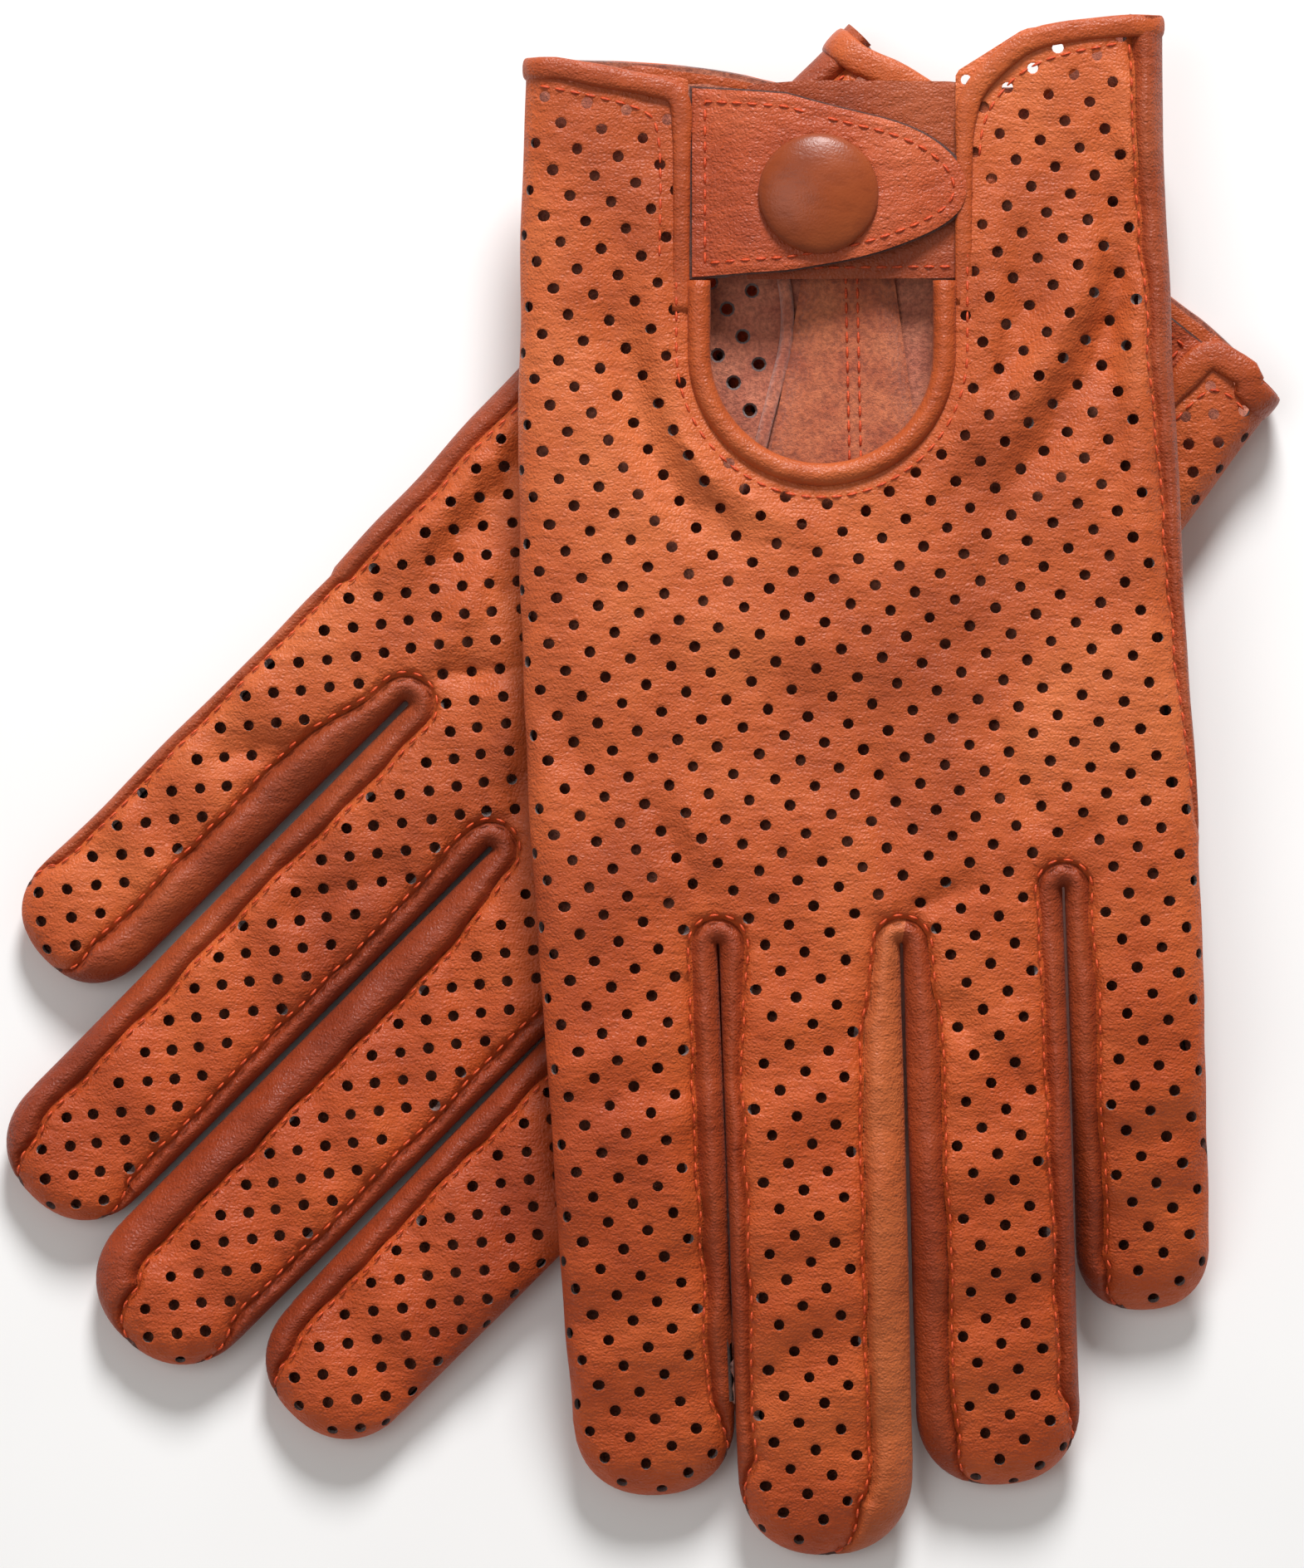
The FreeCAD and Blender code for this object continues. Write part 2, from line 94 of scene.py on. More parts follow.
SEAM_DEPTH = 1.35                # how far a seam is drawn in
SEAM_HALF = 0.62                 # half of a seam's groove
PUCKER_REACH = 1.9
SEAM_STITCH = 2.5                # stitch pitch of the long seams, and of their puckers
HEM_STITCH = 2.3
HEM_STEP = 1.3
HEM_RISE = 0.8                   # half of the rolled hem's height
HEM_THREAD_R = 0.19
STRAP_STITCH = 2.35
SEAM_THREAD = {"radius": 0.19, "length": 1.45, "lift": 0.08}
CROWN_LOW = 0.87                 # the back's height near its edge, as a share of its full height
CROWN_REACH = 13.0
FOLD_LIFT = 2.5                  # height of a fold of lift 1

SLOT_HALF = 19.85
SLOT_END_Y = 84.0
PIPING_R = 1.72
PIPING_TOP_Y = 94.6
STRAP_T = 0.95
STRAP_IN = 0.6                   # the strap's sewn edge, inside the keyhole's edge
STRAP_NOSE = 22.6                # from the snap's centre to the strap's tip
STRAP_LOW_Y = 95.1
STRAP_HIGH_Y = 123.2
STRAP_RISE = 1.65
STRAP_BEND = 4.2                 # the strap bends over this much of its root
SNAP_Y = 107.4
CAP_R = 8.95
CAP_H = 3.1
TAB_LOW_Y = 94.8
TAB_HIGH_Y = 124.2
TAB_LEFT = 10.5
TAB_RIGHT = 6.0
THUMB_DEPTH = 3.6
THUMB_GAP = 0.3
THUMB_BASE_R = 13.0
THUMB_TIP_R = 10.5
THUMB_REACH = 48.0

FINGERS = ["index", "middle", "ring", "little"]
PAINTED_FINGER_SHADE = (0.98, 0.78, 0.54, 1.0)  # painted shade: how much darker and deeper the leather's colour is made on the fingers, which slope away from the light

# A finger: root and tip in plan, its width at each, the length and pitch of its root half,
# then for each of its two sides the fourchette's width at the root and the tip, and how many
# degrees it runs on round the fingertip. Width 0 means that the back panel wraps that side.
GLOVES = {
    "left": {
        "mirrored": False,
        "turn": 0.0,
        "palm_drop": 0.0,
        "hem": (3.3, 0.5),
        "slot_x": -4.05,
        "snap_x": -4.6,
        "thumb_pivot": (-34.0, 62.0),
        "thumb_toward": (-12.0, 8.0),
        "index_side": [(-46.5, 0.0), (-49.0, 62.0), (-47.8, 128.3)],
        "little_side": [(52.2, 8.6), (49.1, 62.0), (46.3, 134.6)],
        "strip": (13.0, 0.0, 4.4),
        "flaps": [(-24.5, 124.6), (16.5, 126.0), (26.0, 132.0)],
        "palm_cuff": [(44.5, 132.8), (35.5, 131.2), (31.0, 126.0), (26.0, 123.2), (13.3, 124.6),
                      (-3.0, 123.4), (-10.0, 124.0), (-19.0, 126.4), (-34.0, 127.6)],
        "arches": (0.0, 0.0, 8.4),
        "lattice": (6.1, -10.5, 3.47),
        "fingers": {
            "index": ((-33.1, 0.0), (-28.3, -86.8), 26.6, 24.0, 41.0, 4.0,
                      (0.0, 0.0, 0), (4.2, 3.0, 40)),
            "middle": ((-6.0, 0.0), (-2.9, -95.7), 26.8, 26.0, 46.0, 4.0,
                       (2.4, 2.0, 35), (6.0, 6.2, 100)),
            "ring": ((19.8, 3.0), (22.9, -85.2), 23.8, 24.4, 42.0, 4.5,
                     (5.0, 5.2, 85), (3.0, 2.4, 40)),
            "little": ((42.0, 8.6), (44.6, -59.0), 20.0, 19.9, 31.0, 6.0,
                       (3.8, 4.0, 80), (0.0, 0.0, 0)),
        },
        "folds": [((-18.8, 1.2), (-30.0, 18.0), 2.1, -0.36), ((-20.5, 4.0), (-26.0, 24.0), 2.2, 0.35),
                  ((8.4, 0.6), (20.0, 5.5), 1.5, -0.5), ((7.0, 4.0), (3.0, 26.0), 2.4, -0.35),
                  ((28.5, 12.0), (22.0, 30.0), 2.0, -0.35), ((31.0, 9.5), (40.0, 16.0), 1.6, -0.35),
                  ((-29.5, 112.0), (-28.5, 86.0), (-24.0, 68.0), (-12.0, 59.0), (0.0, 57.0), 2.6, 0.6),
                  ((-36.0, 108.0), (-34.5, 84.0), (-27.0, 64.0), (-14.0, 53.0), 3.2, -0.75),
                  ((20.5, 108.0), (21.5, 84.0), (16.0, 67.0), (8.0, 60.0), 2.4, 0.5),
                  ((19.0, 66.0), (27.0, 78.0), (36.0, 94.0), (38.5, 112.0), 3.2, 0.8),
                  ((42.5, 112.0), (40.5, 92.0), (29.0, 70.0), (20.0, 58.0), 2.8, -0.75),
                  ((26.0, 104.0), (26.5, 90.0), (20.0, 76.0), 2.2, -0.55),
                  ((42.0, 128.0), (44.0, 30.0), 2.6, 0.6), ((38.0, 124.0), (39.5, 60.0), 2.4, -0.45),
                  ((-46.0, 40.0), (-38.0, 10.0), 3.0, -0.4), ((-30.0, 46.0), (10.0, 36.0), 5.0, 0.4),
                  ((-24.0, -8.0), (-21.0, -60.0), 1.7, -0.5), ((14.0, -12.0), (28.0, -28.0), 2.0, -0.4)],
    },
    "right": {
        "mirrored": True,
        "turn": -41.7,
        "palm_drop": 3.25,
        "hem": (4.5, 1.9),
        "slot_x": -1.0,
        "snap_x": -1.6,
        "thumb_pivot": (-31.0, 62.0),
        "thumb_toward": (-9.0, 8.0),
        "index_side": [(-42.4, 0.0), (-39.6, 62.0), (-34.0, 127.0)],
        "little_side": [(54.1, 8.6), (53.5, 62.0), (51.0, 124.8)],
        "strip": (-30.0, 1.5, 4.4),
        "flaps": [(-21.5, 125.6), (19.5, 124.6), (31.0, 126.2)],
        "palm_cuff": [(40.0, 126.0), (30.0, 125.4), (5.0, 123.6), (-11.7, 125.8), (-22.0, 126.8)],
        "arches": (0.0, 0.0, 7.8),
        "lattice": (4.25, 41.7, 4.25),
        "fingers": {
            "index": ((-29.3, 0.0), (-25.3, -87.0), 25.0, 23.2, 45.5, 2.3,
                      (0.0, 0.0, 0), (3.8, 4.0, 85)),
            "middle": ((-4.2, 0.0), (1.2, -95.2), 25.0, 24.8, 46.0, 2.1,
                       (2.8, 2.2, 40), (6.0, 6.2, 105)),
            "ring": ((20.6, 3.0), (25.6, -88.5), 23.4, 22.6, 43.0, 2.2,
                     (2.8, 2.4, 40), (3.8, 4.2, 90)),
            "little": ((43.4, 8.6), (47.6, -60.8), 20.8, 20.4, 33.0, 2.9,
                       (6.6, 6.4, 90), (1.5, 1.3, 30)),
        },
        "folds": [((33.0, 9.5), (22.0, 20.0), 2.0, -0.55), ((33.0, 11.0), (38.0, 30.0), 2.6, 0.6),
                  ((8.0, 1.0), (16.0, 14.0), 2.2, -0.5), ((12.0, 6.0), (34.0, 24.0), 4.0, 0.7),
                  ((47.0, 14.0), (49.0, 60.0), 3.0, 0.7), ((43.0, 20.0), (44.0, 70.0), 2.6, -0.5),
                  ((17.0, -14.0), (26.0, -34.0), 2.2, -0.4), ((38.0, -8.0), (50.0, -22.0), 2.2, -0.4)],
    },
}


# ---------------------------------------------------------------- small geometry tools

def smooth(t):
    t = np.clip(t, 0.0, 1.0)
    return t * t * (3 - 2 * t)


def arc_at(inset):
    """The way round the rounded edge, from the mid-plane to a line inset in plan."""
    inset = np.asarray(inset, float)
    bent = EDGE_ARC * (1 - np.arcsin(np.clip(1 - inset / EDGE_RUN, 0, 1)) / (math.pi / 2))
    return np.where(inset < EDGE_RUN, bent, EDGE_ARC + inset - EDGE_RUN)


def edge_profile(arc, run=EDGE_RUN, length=EDGE_ARC):
    """Plan distance from the silhouette, and share of the half depth, at a way round the edge."""
    turn = (1 - np.clip(arc, 0, length) / length) * math.pi / 2
    return run * (1 - np.sin(turn)) + np.maximum(arc - length, 0), np.cos(turn)


def crown_at(inset):
    """How far a spot of the back has risen, by its distance from the silhouette."""
    return CROWN_LOW + (1 - CROWN_LOW) * smooth((inset - 1) / CROWN_REACH)


def unit(vectors):
    return vectors / (np.linalg.norm(vectors, axis=1)[:, None] + 1e-12)


def loop_of(values):
    """A closed line's points, with the first one again at the end."""
    return np.concatenate([values, values[:1]])


def run_along(points):
    """The way along a polyline to each of its points."""
    return np.concatenate([[0], np.cumsum(np.linalg.norm(np.diff(points, axis=0), axis=1))])


def upward(count):
    return np.tile([0.0, 0.0, 1.0], (count, 1))


def outward(points):
    """Unit normals to the right of a polyline's direction."""
    along = unit(np.gradient(points, axis=0))
    return np.stack([along[:, 1], -along[:, 0]], axis=1)


def nearest_on(points, line, normals=None):
    """Distance to a polyline, place along it (segment + fraction), foot, and side by its normals."""
    start, step = line[:-1], np.diff(line, axis=0)
    size = (step ** 2).sum(1) + 1e-12
    distance, place = np.empty(len(points)), np.empty(len(points))
    foot = np.empty((len(points), 2))
    for low in range(0, len(points), 4000):
        block = points[low:low + 4000, None, :] - start[None]
        share = np.clip((block * step[None]).sum(2) / size, 0, 1)
        gap = ((block - share[..., None] * step[None]) ** 2).sum(2)
        best = gap.argmin(1)
        rows = np.arange(len(best))
        cut = slice(low, low + len(best))
        distance[cut] = np.sqrt(gap[rows, best])
        place[cut] = best + share[rows, best]
        foot[cut] = start[best] + share[rows, best][:, None] * step[best]
    if normals is None:
        return distance, place, foot
    here = along_list(normals, place)
    inside = -((points - foot) * here).sum(1)
    return np.where(inside >= 0, distance, -distance), place, foot


def along_list(values, place):
    """Values of a list of stations at fractional places."""
    values = np.asarray(values, float)
    low = np.clip(place.astype(int), 0, len(values) - 2)
    share = place - low
    if values.ndim > 1:
        share = share[:, None]
    return values[low] * (1 - share) + values[low + 1] * share


def inside_polygon(points, polygon):
    x, y = points[:, 0], points[:, 1]
    result = np.zeros(len(points), bool)
    for (x0, y0), (x1, y1) in zip(polygon, np.roll(polygon, -1, axis=0)):
        if y0 == y1:
            continue
        crosses = (y0 > y) != (y1 > y)
        result ^= crosses & (x < (x1 - x0) * (y - y0) / (y1 - y0) + x0)
    return result


def resample(points, step):
    points = np.asarray(points, float)
    lengths = run_along(points)
    count = max(2, int(round(lengths[-1] / step)) + 1)
    at = np.linspace(0, lengths[-1], count)
    return np.stack([np.interp(at, lengths, points[:, i]) for i in range(points.shape[1])], axis=1)


def rounded(points, passes=3):
    """A polyline with its corners cut, keeping both ends."""
    points = np.asarray(points, float)
    for _ in range(passes):
        cut = np.empty((2 * len(points) - 2, points.shape[1]))
        cut[0::2] = points[:-1] * 0.75 + points[1:] * 0.25
        cut[1::2] = points[:-1] * 0.25 + points[1:] * 0.75
        points = np.concatenate([points[:1], cut[1:-1], points[-1:]])
    return points


def soft_noise(points, scale, seed):
    """Smooth noise from -1 to 1 at each point, with features about scale mm across."""
    shift = Vector((seed * 17.3, seed * 5.9, seed * 11.1))
    return np.array([noise.noise(Vector((x, y, 0)) / scale + shift) for x, y in points[:, :2]])


# ---------------------------------------------------------------- a glove's shape

class Glove:
    """One glove's outline and surfaces in its hand frame."""

    def __init__(self, side):
        self.side = side
        self.data = GLOVES[side]
        low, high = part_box(side + "_snap_cap")
        centre = (low + high) / 2 / MM
        self.place = np.zeros(3)
        cap_base = HAND_DEPTH + STRAP_RISE + STRAP_T
        self.place = np.array([centre.x, centre.y, low.z / MM]) - self.turned(
            np.array([[self.data["snap_x"], SNAP_Y, cap_base]]))[0]
        self.frames = {name: self.finger_frame(name) for name in FINGERS}
        self.build_contour()

    def turned(self, vectors):
        """Vectors of the hand frame as they lie in the pair."""
        out = np.array(vectors, float)
        if self.data["mirrored"]:
            out[:, 0] *= -1
        angle = math.radians(self.data["turn"])
        x, y = out[:, 0].copy(), out[:, 1].copy()
        out[:, 0] = x * math.cos(angle) - y * math.sin(angle)
        out[:, 1] = x * math.sin(angle) + y * math.cos(angle)
        return out

    def to_world(self, points):
        return (self.turned(points) + self.place) * MM

    def finger_frame(self, name):
        """Direction, length and the run of drops along a finger, as the frame's joints have it."""
        root, tip, root_w, tip_w, root_length, pitch = self.data["fingers"][name][:6]
        root, tip = np.array(root), np.array(tip)
        reach = np.linalg.norm(tip - root)
        forward = (tip - root) / reach
        lean = math.radians(pitch)
        fold = root_length * math.cos(lean)
        down = HAND_DEPTH + self.place[2] - FLOOR_GAP - root_length * math.sin(lean)
        tip_lean = lean
        for _ in range(12):
            tip_lean = math.atan((down - HAND_DEPTH * math.cos(tip_lean)) / (reach - fold))
        along = np.arange(-60.0, 130.0, 0.5)
        slope = (math.tan(lean) * smooth((along + 8) / 16)
                 + (math.tan(tip_lean) - math.tan(lean)) * smooth((along - fold + 9) / 18))
        drops = np.cumsum(slope) * 0.5
        return {"root": root, "forward": forward, "across": np.array([-forward[1], forward[0]]),
                "reach": reach, "fold": fold, "half": (root_w / 2, tip_w / 2),
                "along": along, "drops": drops}

    def finger_drop(self, name, points):
        frame = self.frames[name]
        along = (points - frame["root"]) @ frame["forward"]
        return np.interp(along, frame["along"], frame["drops"])

    def bend_ends(self, body):
        """The world places between which a finger, or the strap's root, bends."""
        if body == "strap":
            root = self.data["slot_x"] - SLOT_HALF + STRAP_IN
            middle = (STRAP_LOW_Y + STRAP_HIGH_Y) / 2
            height = HAND_DEPTH - LEATHER + STRAP_T / 2
            spots = [(root - 0.3, middle, height), (root + STRAP_BEND, middle, height)]
        else:
            frame = self.frames[body]
            spots = []
            for along in (frame["fold"] - BLEND_REACH, frame["fold"] + BLEND_REACH):
                x, y = frame["root"] + frame["forward"] * along
                spots.append((x, y, HAND_DEPTH))
        return self.to_world(np.array(spots))

    def side_x(self, key, y):
        points = np.array(self.data[key])
        return np.polyval(np.polyfit(points[:, 1], points[:, 0], 2), y)

    def strip_inset(self, y):
        """The side strip's width on the back, from its lower end to the cuff."""
        low_y, narrow, wide = self.data["strip"]
        cuff_y = self.data["little_side"][-1][1]
        return narrow + (wide - narrow) * np.clip((y - low_y) / (cuff_y - low_y), 0, 1) ** 0.7

    def build_contour(self):
        """The silhouette in plan, from the index side of the cuff round to the little side."""
        data = self.data
        rows = []                                    # x, y, back seam's arc, palm seam's arc
        self.spans, self.crotches = {}, []
        top = data["index_side"][-1][1]
        for y in np.arange(top + BEYOND_CUFF, 2.0, -2.0):
            rows.append((self.side_x("index_side", y), y, 0.0, 0.0))
        for number, name in enumerate(FINGERS):
            first = len(rows)
            rows += self.finger_rows(number, name)
            self.spans[name] = (first, len(rows))
            if number < 3:
                rows += self.crotch_rows(number, rows[-1])
        top = data["little_side"][-1][1]
        for y in np.arange(12.0, top + BEYOND_CUFF, 2.0):
            rows.append((self.side_x("little_side", y), y, float(arc_at(self.strip_inset(y))),
                         float(arc_at(PALM_INSET))))
        rows = np.array(rows)
        self.normals = outward(rows[:, :2])
        seed = 3 if self.side == "left" else 6
        in_slit = np.zeros(len(rows), bool)
        in_slit[self.spans["index"][0] + 45:self.spans["little"][1] - 45] = True
        sway = np.where(in_slit, 0.1, 0.4) * soft_noise(rows, 13, seed)
        self.line = rows[:, :2] + self.normals * sway[:, None]
        self.back_arc, self.palm_arc = rows[:, 2], rows[:, 3]
        self.back_arc += (np.clip(self.back_arc - 1.5, 0, 1) * 0.55
                          * soft_noise(rows + (self.back_arc[:, None] * 9), 7, seed + 1))
        self.length = run_along(self.line)

    def crotch_y(self, number):
        return self.data["arches"][number] - ARCH_DEPTH

    def slit_start(self, name, side, crotch):
        """How far along a finger its side reaches the slit's end at a given Y."""
        frame = self.frames[name]
        edge_y = frame["root"][1] + frame["across"][1] * side * frame["half"][0]
        return (edge_y - crotch) / -frame["forward"][1]

    def finger_rows(self, number, name):
        frame, entry = self.frames[name], self.data["fingers"][name]
        root_half, tip_half = frame["half"]
        reach = frame["reach"]
        straight = reach - tip_half
        rows = []

        def point(along, across):
            return frame["root"] + frame["forward"] * along + frame["across"] * across

        def half_at(along):
            return root_half + (tip_half - root_half) * along / reach

        def start_of(side):
            if (name, side) == ("index", -1):
                return 1.0
            if (name, side) == ("little", 1):
                return -1.5
            return self.slit_start(name, side, self.crotch_y(number if side > 0 else number - 1))

        def insets(side, along):
            root_w, tip_w, _ = entry[6 if side < 0 else 7]
            if root_w == 0.0:
                strip = PALM_INSET if (name, side) == ("little", 1) else 0.0
                return 0.0, strip * float(1 - smooth((along - 20) / 25))
            from_start = along - start_of(side)
            share = float(smooth(from_start / 16))
            width = root_w + (tip_w - root_w) * along / reach
            if (name, side) == ("little", 1):
                return width, PALM_INSET * 0.8
            return ARCH_INSET * (1 - share) + width * share, PALM_INSET

        def side_rows(side):
            found = []
            for along in np.arange(start_of(side), straight, 1.8):
                x, y = point(along, side * half_at(along))
                back, palm = insets(side, along)
                found.append((x, y, float(arc_at(back)), float(arc_at(palm))))
            return found

        rows += side_rows(-1)
        for angle in range(0, 181, 6):
            turn = math.radians(angle)
            across = -tip_half * math.copysign(abs(math.cos(turn)) ** (2 / 2.25), math.cos(turn))
            along = straight + tip_half * math.sin(turn) ** (2 / 2.25)
            x, y = point(along, across)
            back = palm = 0.0
            for side, gone in ((-1, angle), (1, 180 - angle)):
                round_by = entry[6 if side < 0 else 7][2]
                top, under = insets(side, straight)
                left = 1 - smooth((gone - round_by + 55) / 55) if round_by else 0.0
                back = max(back, float(arc_at(top)) * left)
                palm = max(palm, float(arc_at(under)) * left)
            rows.append((x, y, back, palm))
        rows += side_rows(1)[::-1]
        return rows

    def crotch_rows(self, number, last):
        """The round end of the slit between two fingers."""
        after = self.frames[FINGERS[number + 1]]
        along = self.slit_start(FINGERS[number + 1], -1, self.crotch_y(number))
        half = after["half"][0] + (after["half"][1] - after["half"][0]) * along / after["reach"]
        right = after["root"] + after["forward"] * along - after["across"] * half
        left = np.array(last[:2])
        centre, radius = (left + right) / 2, np.linalg.norm(right - left) / 2
        self.crotches.append(centre[0])
        arcs = float(arc_at(ARCH_INSET)), float(arc_at(PALM_INSET))
        return [(centre[0] - radius * math.cos(math.radians(a)),
                 centre[1] + radius * math.sin(math.radians(a)), *arcs)
                for a in range(20, 161, 20)]

    # -------------------------------------------------- surfaces

    def owners(self, points):
        """The finger that each point belongs to, or -1 for the hand above the crotches."""
        owner, best = np.full(len(points), -1), np.full(len(points), 1.3)
        for number, name in enumerate(FINGERS):
            frame = self.frames[name]
            away = points - frame["root"]
            along = away @ frame["forward"]
            half = np.interp(along, [0, frame["reach"]], frame["half"])
            past = np.maximum(along - frame["reach"] + half, 0) / (half + 2.5)
            half = half * np.sqrt(np.maximum(1 - past ** 2, 0.02))
            aside = abs(away @ frame["across"]) / half
            near = min(self.crotch_y(i) for i in (number - 1, number) if 0 <= i < 3)
            mine = (points[:, 1] < near) & (aside < best) & (along < frame["reach"] + 4)
            owner[mine], best[mine] = number, aside[mine]
        return owner

    def panel_owners(self, points, face):
        """The finger whose stretch of a panel's edge is nearest to each pattern point."""
        arc = self.back_arc if face > 0 else self.palm_arc
        edge = self.line + self.normals * (EDGE_ARC - EDGE_RUN - arc)[:, None]
        place = nearest_on(points, edge)[1]
        owner = np.full(len(points), -1)
        for number, name in enumerate(FINGERS):
            low, high = self.spans[name]
            near = min(self.crotch_y(i) for i in (number - 1, number) if 0 <= i < 3)
            owner[(place >= low - 4.5) & (place <= high + 3.5) & (points[:, 1] < near)] = number
        return owner

    def drop(self, points):
        """How far the glove lies below its flat height, where the fingers slope down."""
        owner = self.owners(points)
        total, weight = np.zeros(len(points)), np.zeros(len(points))
        for number, name in enumerate(FINGERS):
            share = np.ones(len(points))
            for crotch, sign in ((number - 1, 1), (number, -1)):
                if 0 <= crotch < 3:
                    soft = 0.05 + 8 * smooth((points[:, 1] - self.crotch_y(crotch)) / 12)
                    share *= smooth(sign * (points[:, 0] - self.crotches[crotch]) / soft + 0.5)
            share = np.where(owner == number, 1.0, np.where(owner < 0, share, 0.0))
            total += share * self.finger_drop(name, points)
            weight += share
        return total / np.maximum(weight, 1e-6)

    def heights(self, points):
        """Mid-plane height and half depth."""
        drop = self.drop(points)
        cuff_y = self.data["index_side"][-1][1]
        palm = self.data["palm_drop"] * np.clip(
            (points[:, 1] - PALM_BEND_Y) / (cuff_y - PALM_BEND_Y), 0, 1)
        top, under = HAND_DEPTH - drop, -drop - palm
        return (top + under) / 2, (top - under) / 2

    def relief(self, points):
        """Soft folds and unevenness of worn leather, in mm."""
        seed = 1 if self.side == "left" else 2
        height = 0.75 * soft_noise(points, 19, seed) + 0.36 * soft_noise(points, 7, seed + 4)
        for *spots, width, lift in self.data["folds"]:
            crest = rounded(spots, 3)
            gap, place, _ = nearest_on(points, crest)
            ends = np.sin(np.clip(place / (len(crest) - 1), 0, 1) * math.pi) ** 0.5
            height += FOLD_LIFT * lift * np.exp(-(gap / width) ** 2) * ends
        slot = np.hypot(points[:, 0] - self.data["slot_x"], np.minimum(points[:, 1] - SLOT_END_Y, 0))
        height *= 0.25 + 0.75 * smooth((slot - SLOT_HALF - 1) / 4.5)
        for number, name in enumerate(FINGERS):
            frame = self.frames[name]
            away = points - frame["root"]
            along, across = away @ frame["forward"], away @ frame["across"]
            wave = np.sin(along * 0.42 + across * 0.16 + 2.1 * number
                          + 2.4 * soft_noise(points, 21, seed + 7 + number))
            inside = (smooth((along - 6) / 14) * smooth((frame["reach"] - along) / 16)
                      * smooth((frame["half"][0] - abs(across)) / 3))
            height += (0.34 if self.side == "left" else 0.5) * wave * inside
        return height

    def on_surface(self, points, face, relief=True):
        """Hand-frame points of the back (face 1) or the palm (face -1) from pattern points."""
        owner = self.panel_owners(points, face)
        signed, place = np.empty(len(points)), np.empty(len(points))
        foot = np.empty((len(points), 2))
        for number in range(-1, 4):
            mine = owner == number
            if not mine.any():
                continue
            low, high = 0, len(self.line)
            if number >= 0:
                low, high = self.spans[FINGERS[number]]
                low, high = max(low - 5, 0), min(high + 5, len(self.line))
            found = nearest_on(points[mine], self.line[low:high], self.normals[low:high])
            signed[mine], place[mine], foot[mine] = found[0], found[1] + low, found[2]
        arc = signed + EDGE_ARC - EDGE_RUN
        run, share = edge_profile(arc)
        toward = (points - foot) / np.where(abs(signed) < 1e-6, 1, signed)[:, None]
        flat = points + toward * np.where(arc < EDGE_ARC, run - signed, 0)[:, None]
        middle, half = self.heights(flat)
        crown = crown_at(signed) if face > 0 else 1.0
        z = middle + face * half * share * crown
        if relief:
            z += self.relief(flat) * share * (1.0 if face > 0 else 0.35)
        return np.column_stack([flat, z])

    def boundary(self, face):
        """The panel's edge in the pattern plane, with each station's groove depth."""
        arc = self.back_arc if face > 0 else self.palm_arc
        edge = self.line + self.normals * (EDGE_ARC - EDGE_RUN - arc)[:, None]
        groove = np.where(arc > 0.3, SEAM_DEPTH, 0.0)
        data = self.data
        index_top, little_top = data["index_side"][-1], data["little_side"][-1]
        cuff = np.where(edge[:, 0] < 0, index_top[1], little_top[1])
        corner = data["hem"][1]
        keep = edge[:, 1] <= cuff - corner - 0.3
        edge, groove = edge[keep], groove[keep]
        first = [edge[0][0], index_top[1] - corner]
        last = [edge[-1][0], little_top[1] - corner]
        if face > 0:
            x = data["slot_x"]
            flaps = data["flaps"]
            over = [last, flaps[2], flaps[1], (x + SLOT_HALF, flaps[1][1] - 0.4)]
            over += self.keyhole_arc(SLOT_HALF, 40) + [(x - SLOT_HALF, flaps[0][1]), first]
            over = resample(np.array(over), 1.2)
        else:
            over = resample(rounded([last] + data["palm_cuff"] + [first], 2), 2.0)
        line = np.concatenate([edge, over[:-1]])
        return line, np.concatenate([groove, np.full(len(over) - 1, 0.3)])

    def keyhole_arc(self, radius, count=48):
        """Points round the keyhole's end, from the little side to the index side."""
        x = self.data["slot_x"]
        return [(x + radius * math.cos(a), SLOT_END_Y - radius * math.sin(a))
                for a in np.linspace(0, math.pi, count)]

    def lattice(self):
        """Centres of the punched holes over the whole glove, a little out of true."""
        pitch, angle, apart = self.data["lattice"]
        turn = math.radians(angle)
        along = np.array([math.cos(turn), math.sin(turn)])
        across = np.array([-along[1], along[0]]) * apart
        stagger = 0.5 if self.side == "left" else 0.0
        centres = np.array([along * pitch * (i + stagger * (j % 2)) + across * j + (0.8, 0.6)
                            for i in range(-60, 60) for j in range(-60, 60)])
        drift = np.column_stack([soft_noise(centres, 11, 21), soft_noise(centres, 11, 22)])
        return centres + drift * 0.45


# ---------------------------------------------------------------- mesh building

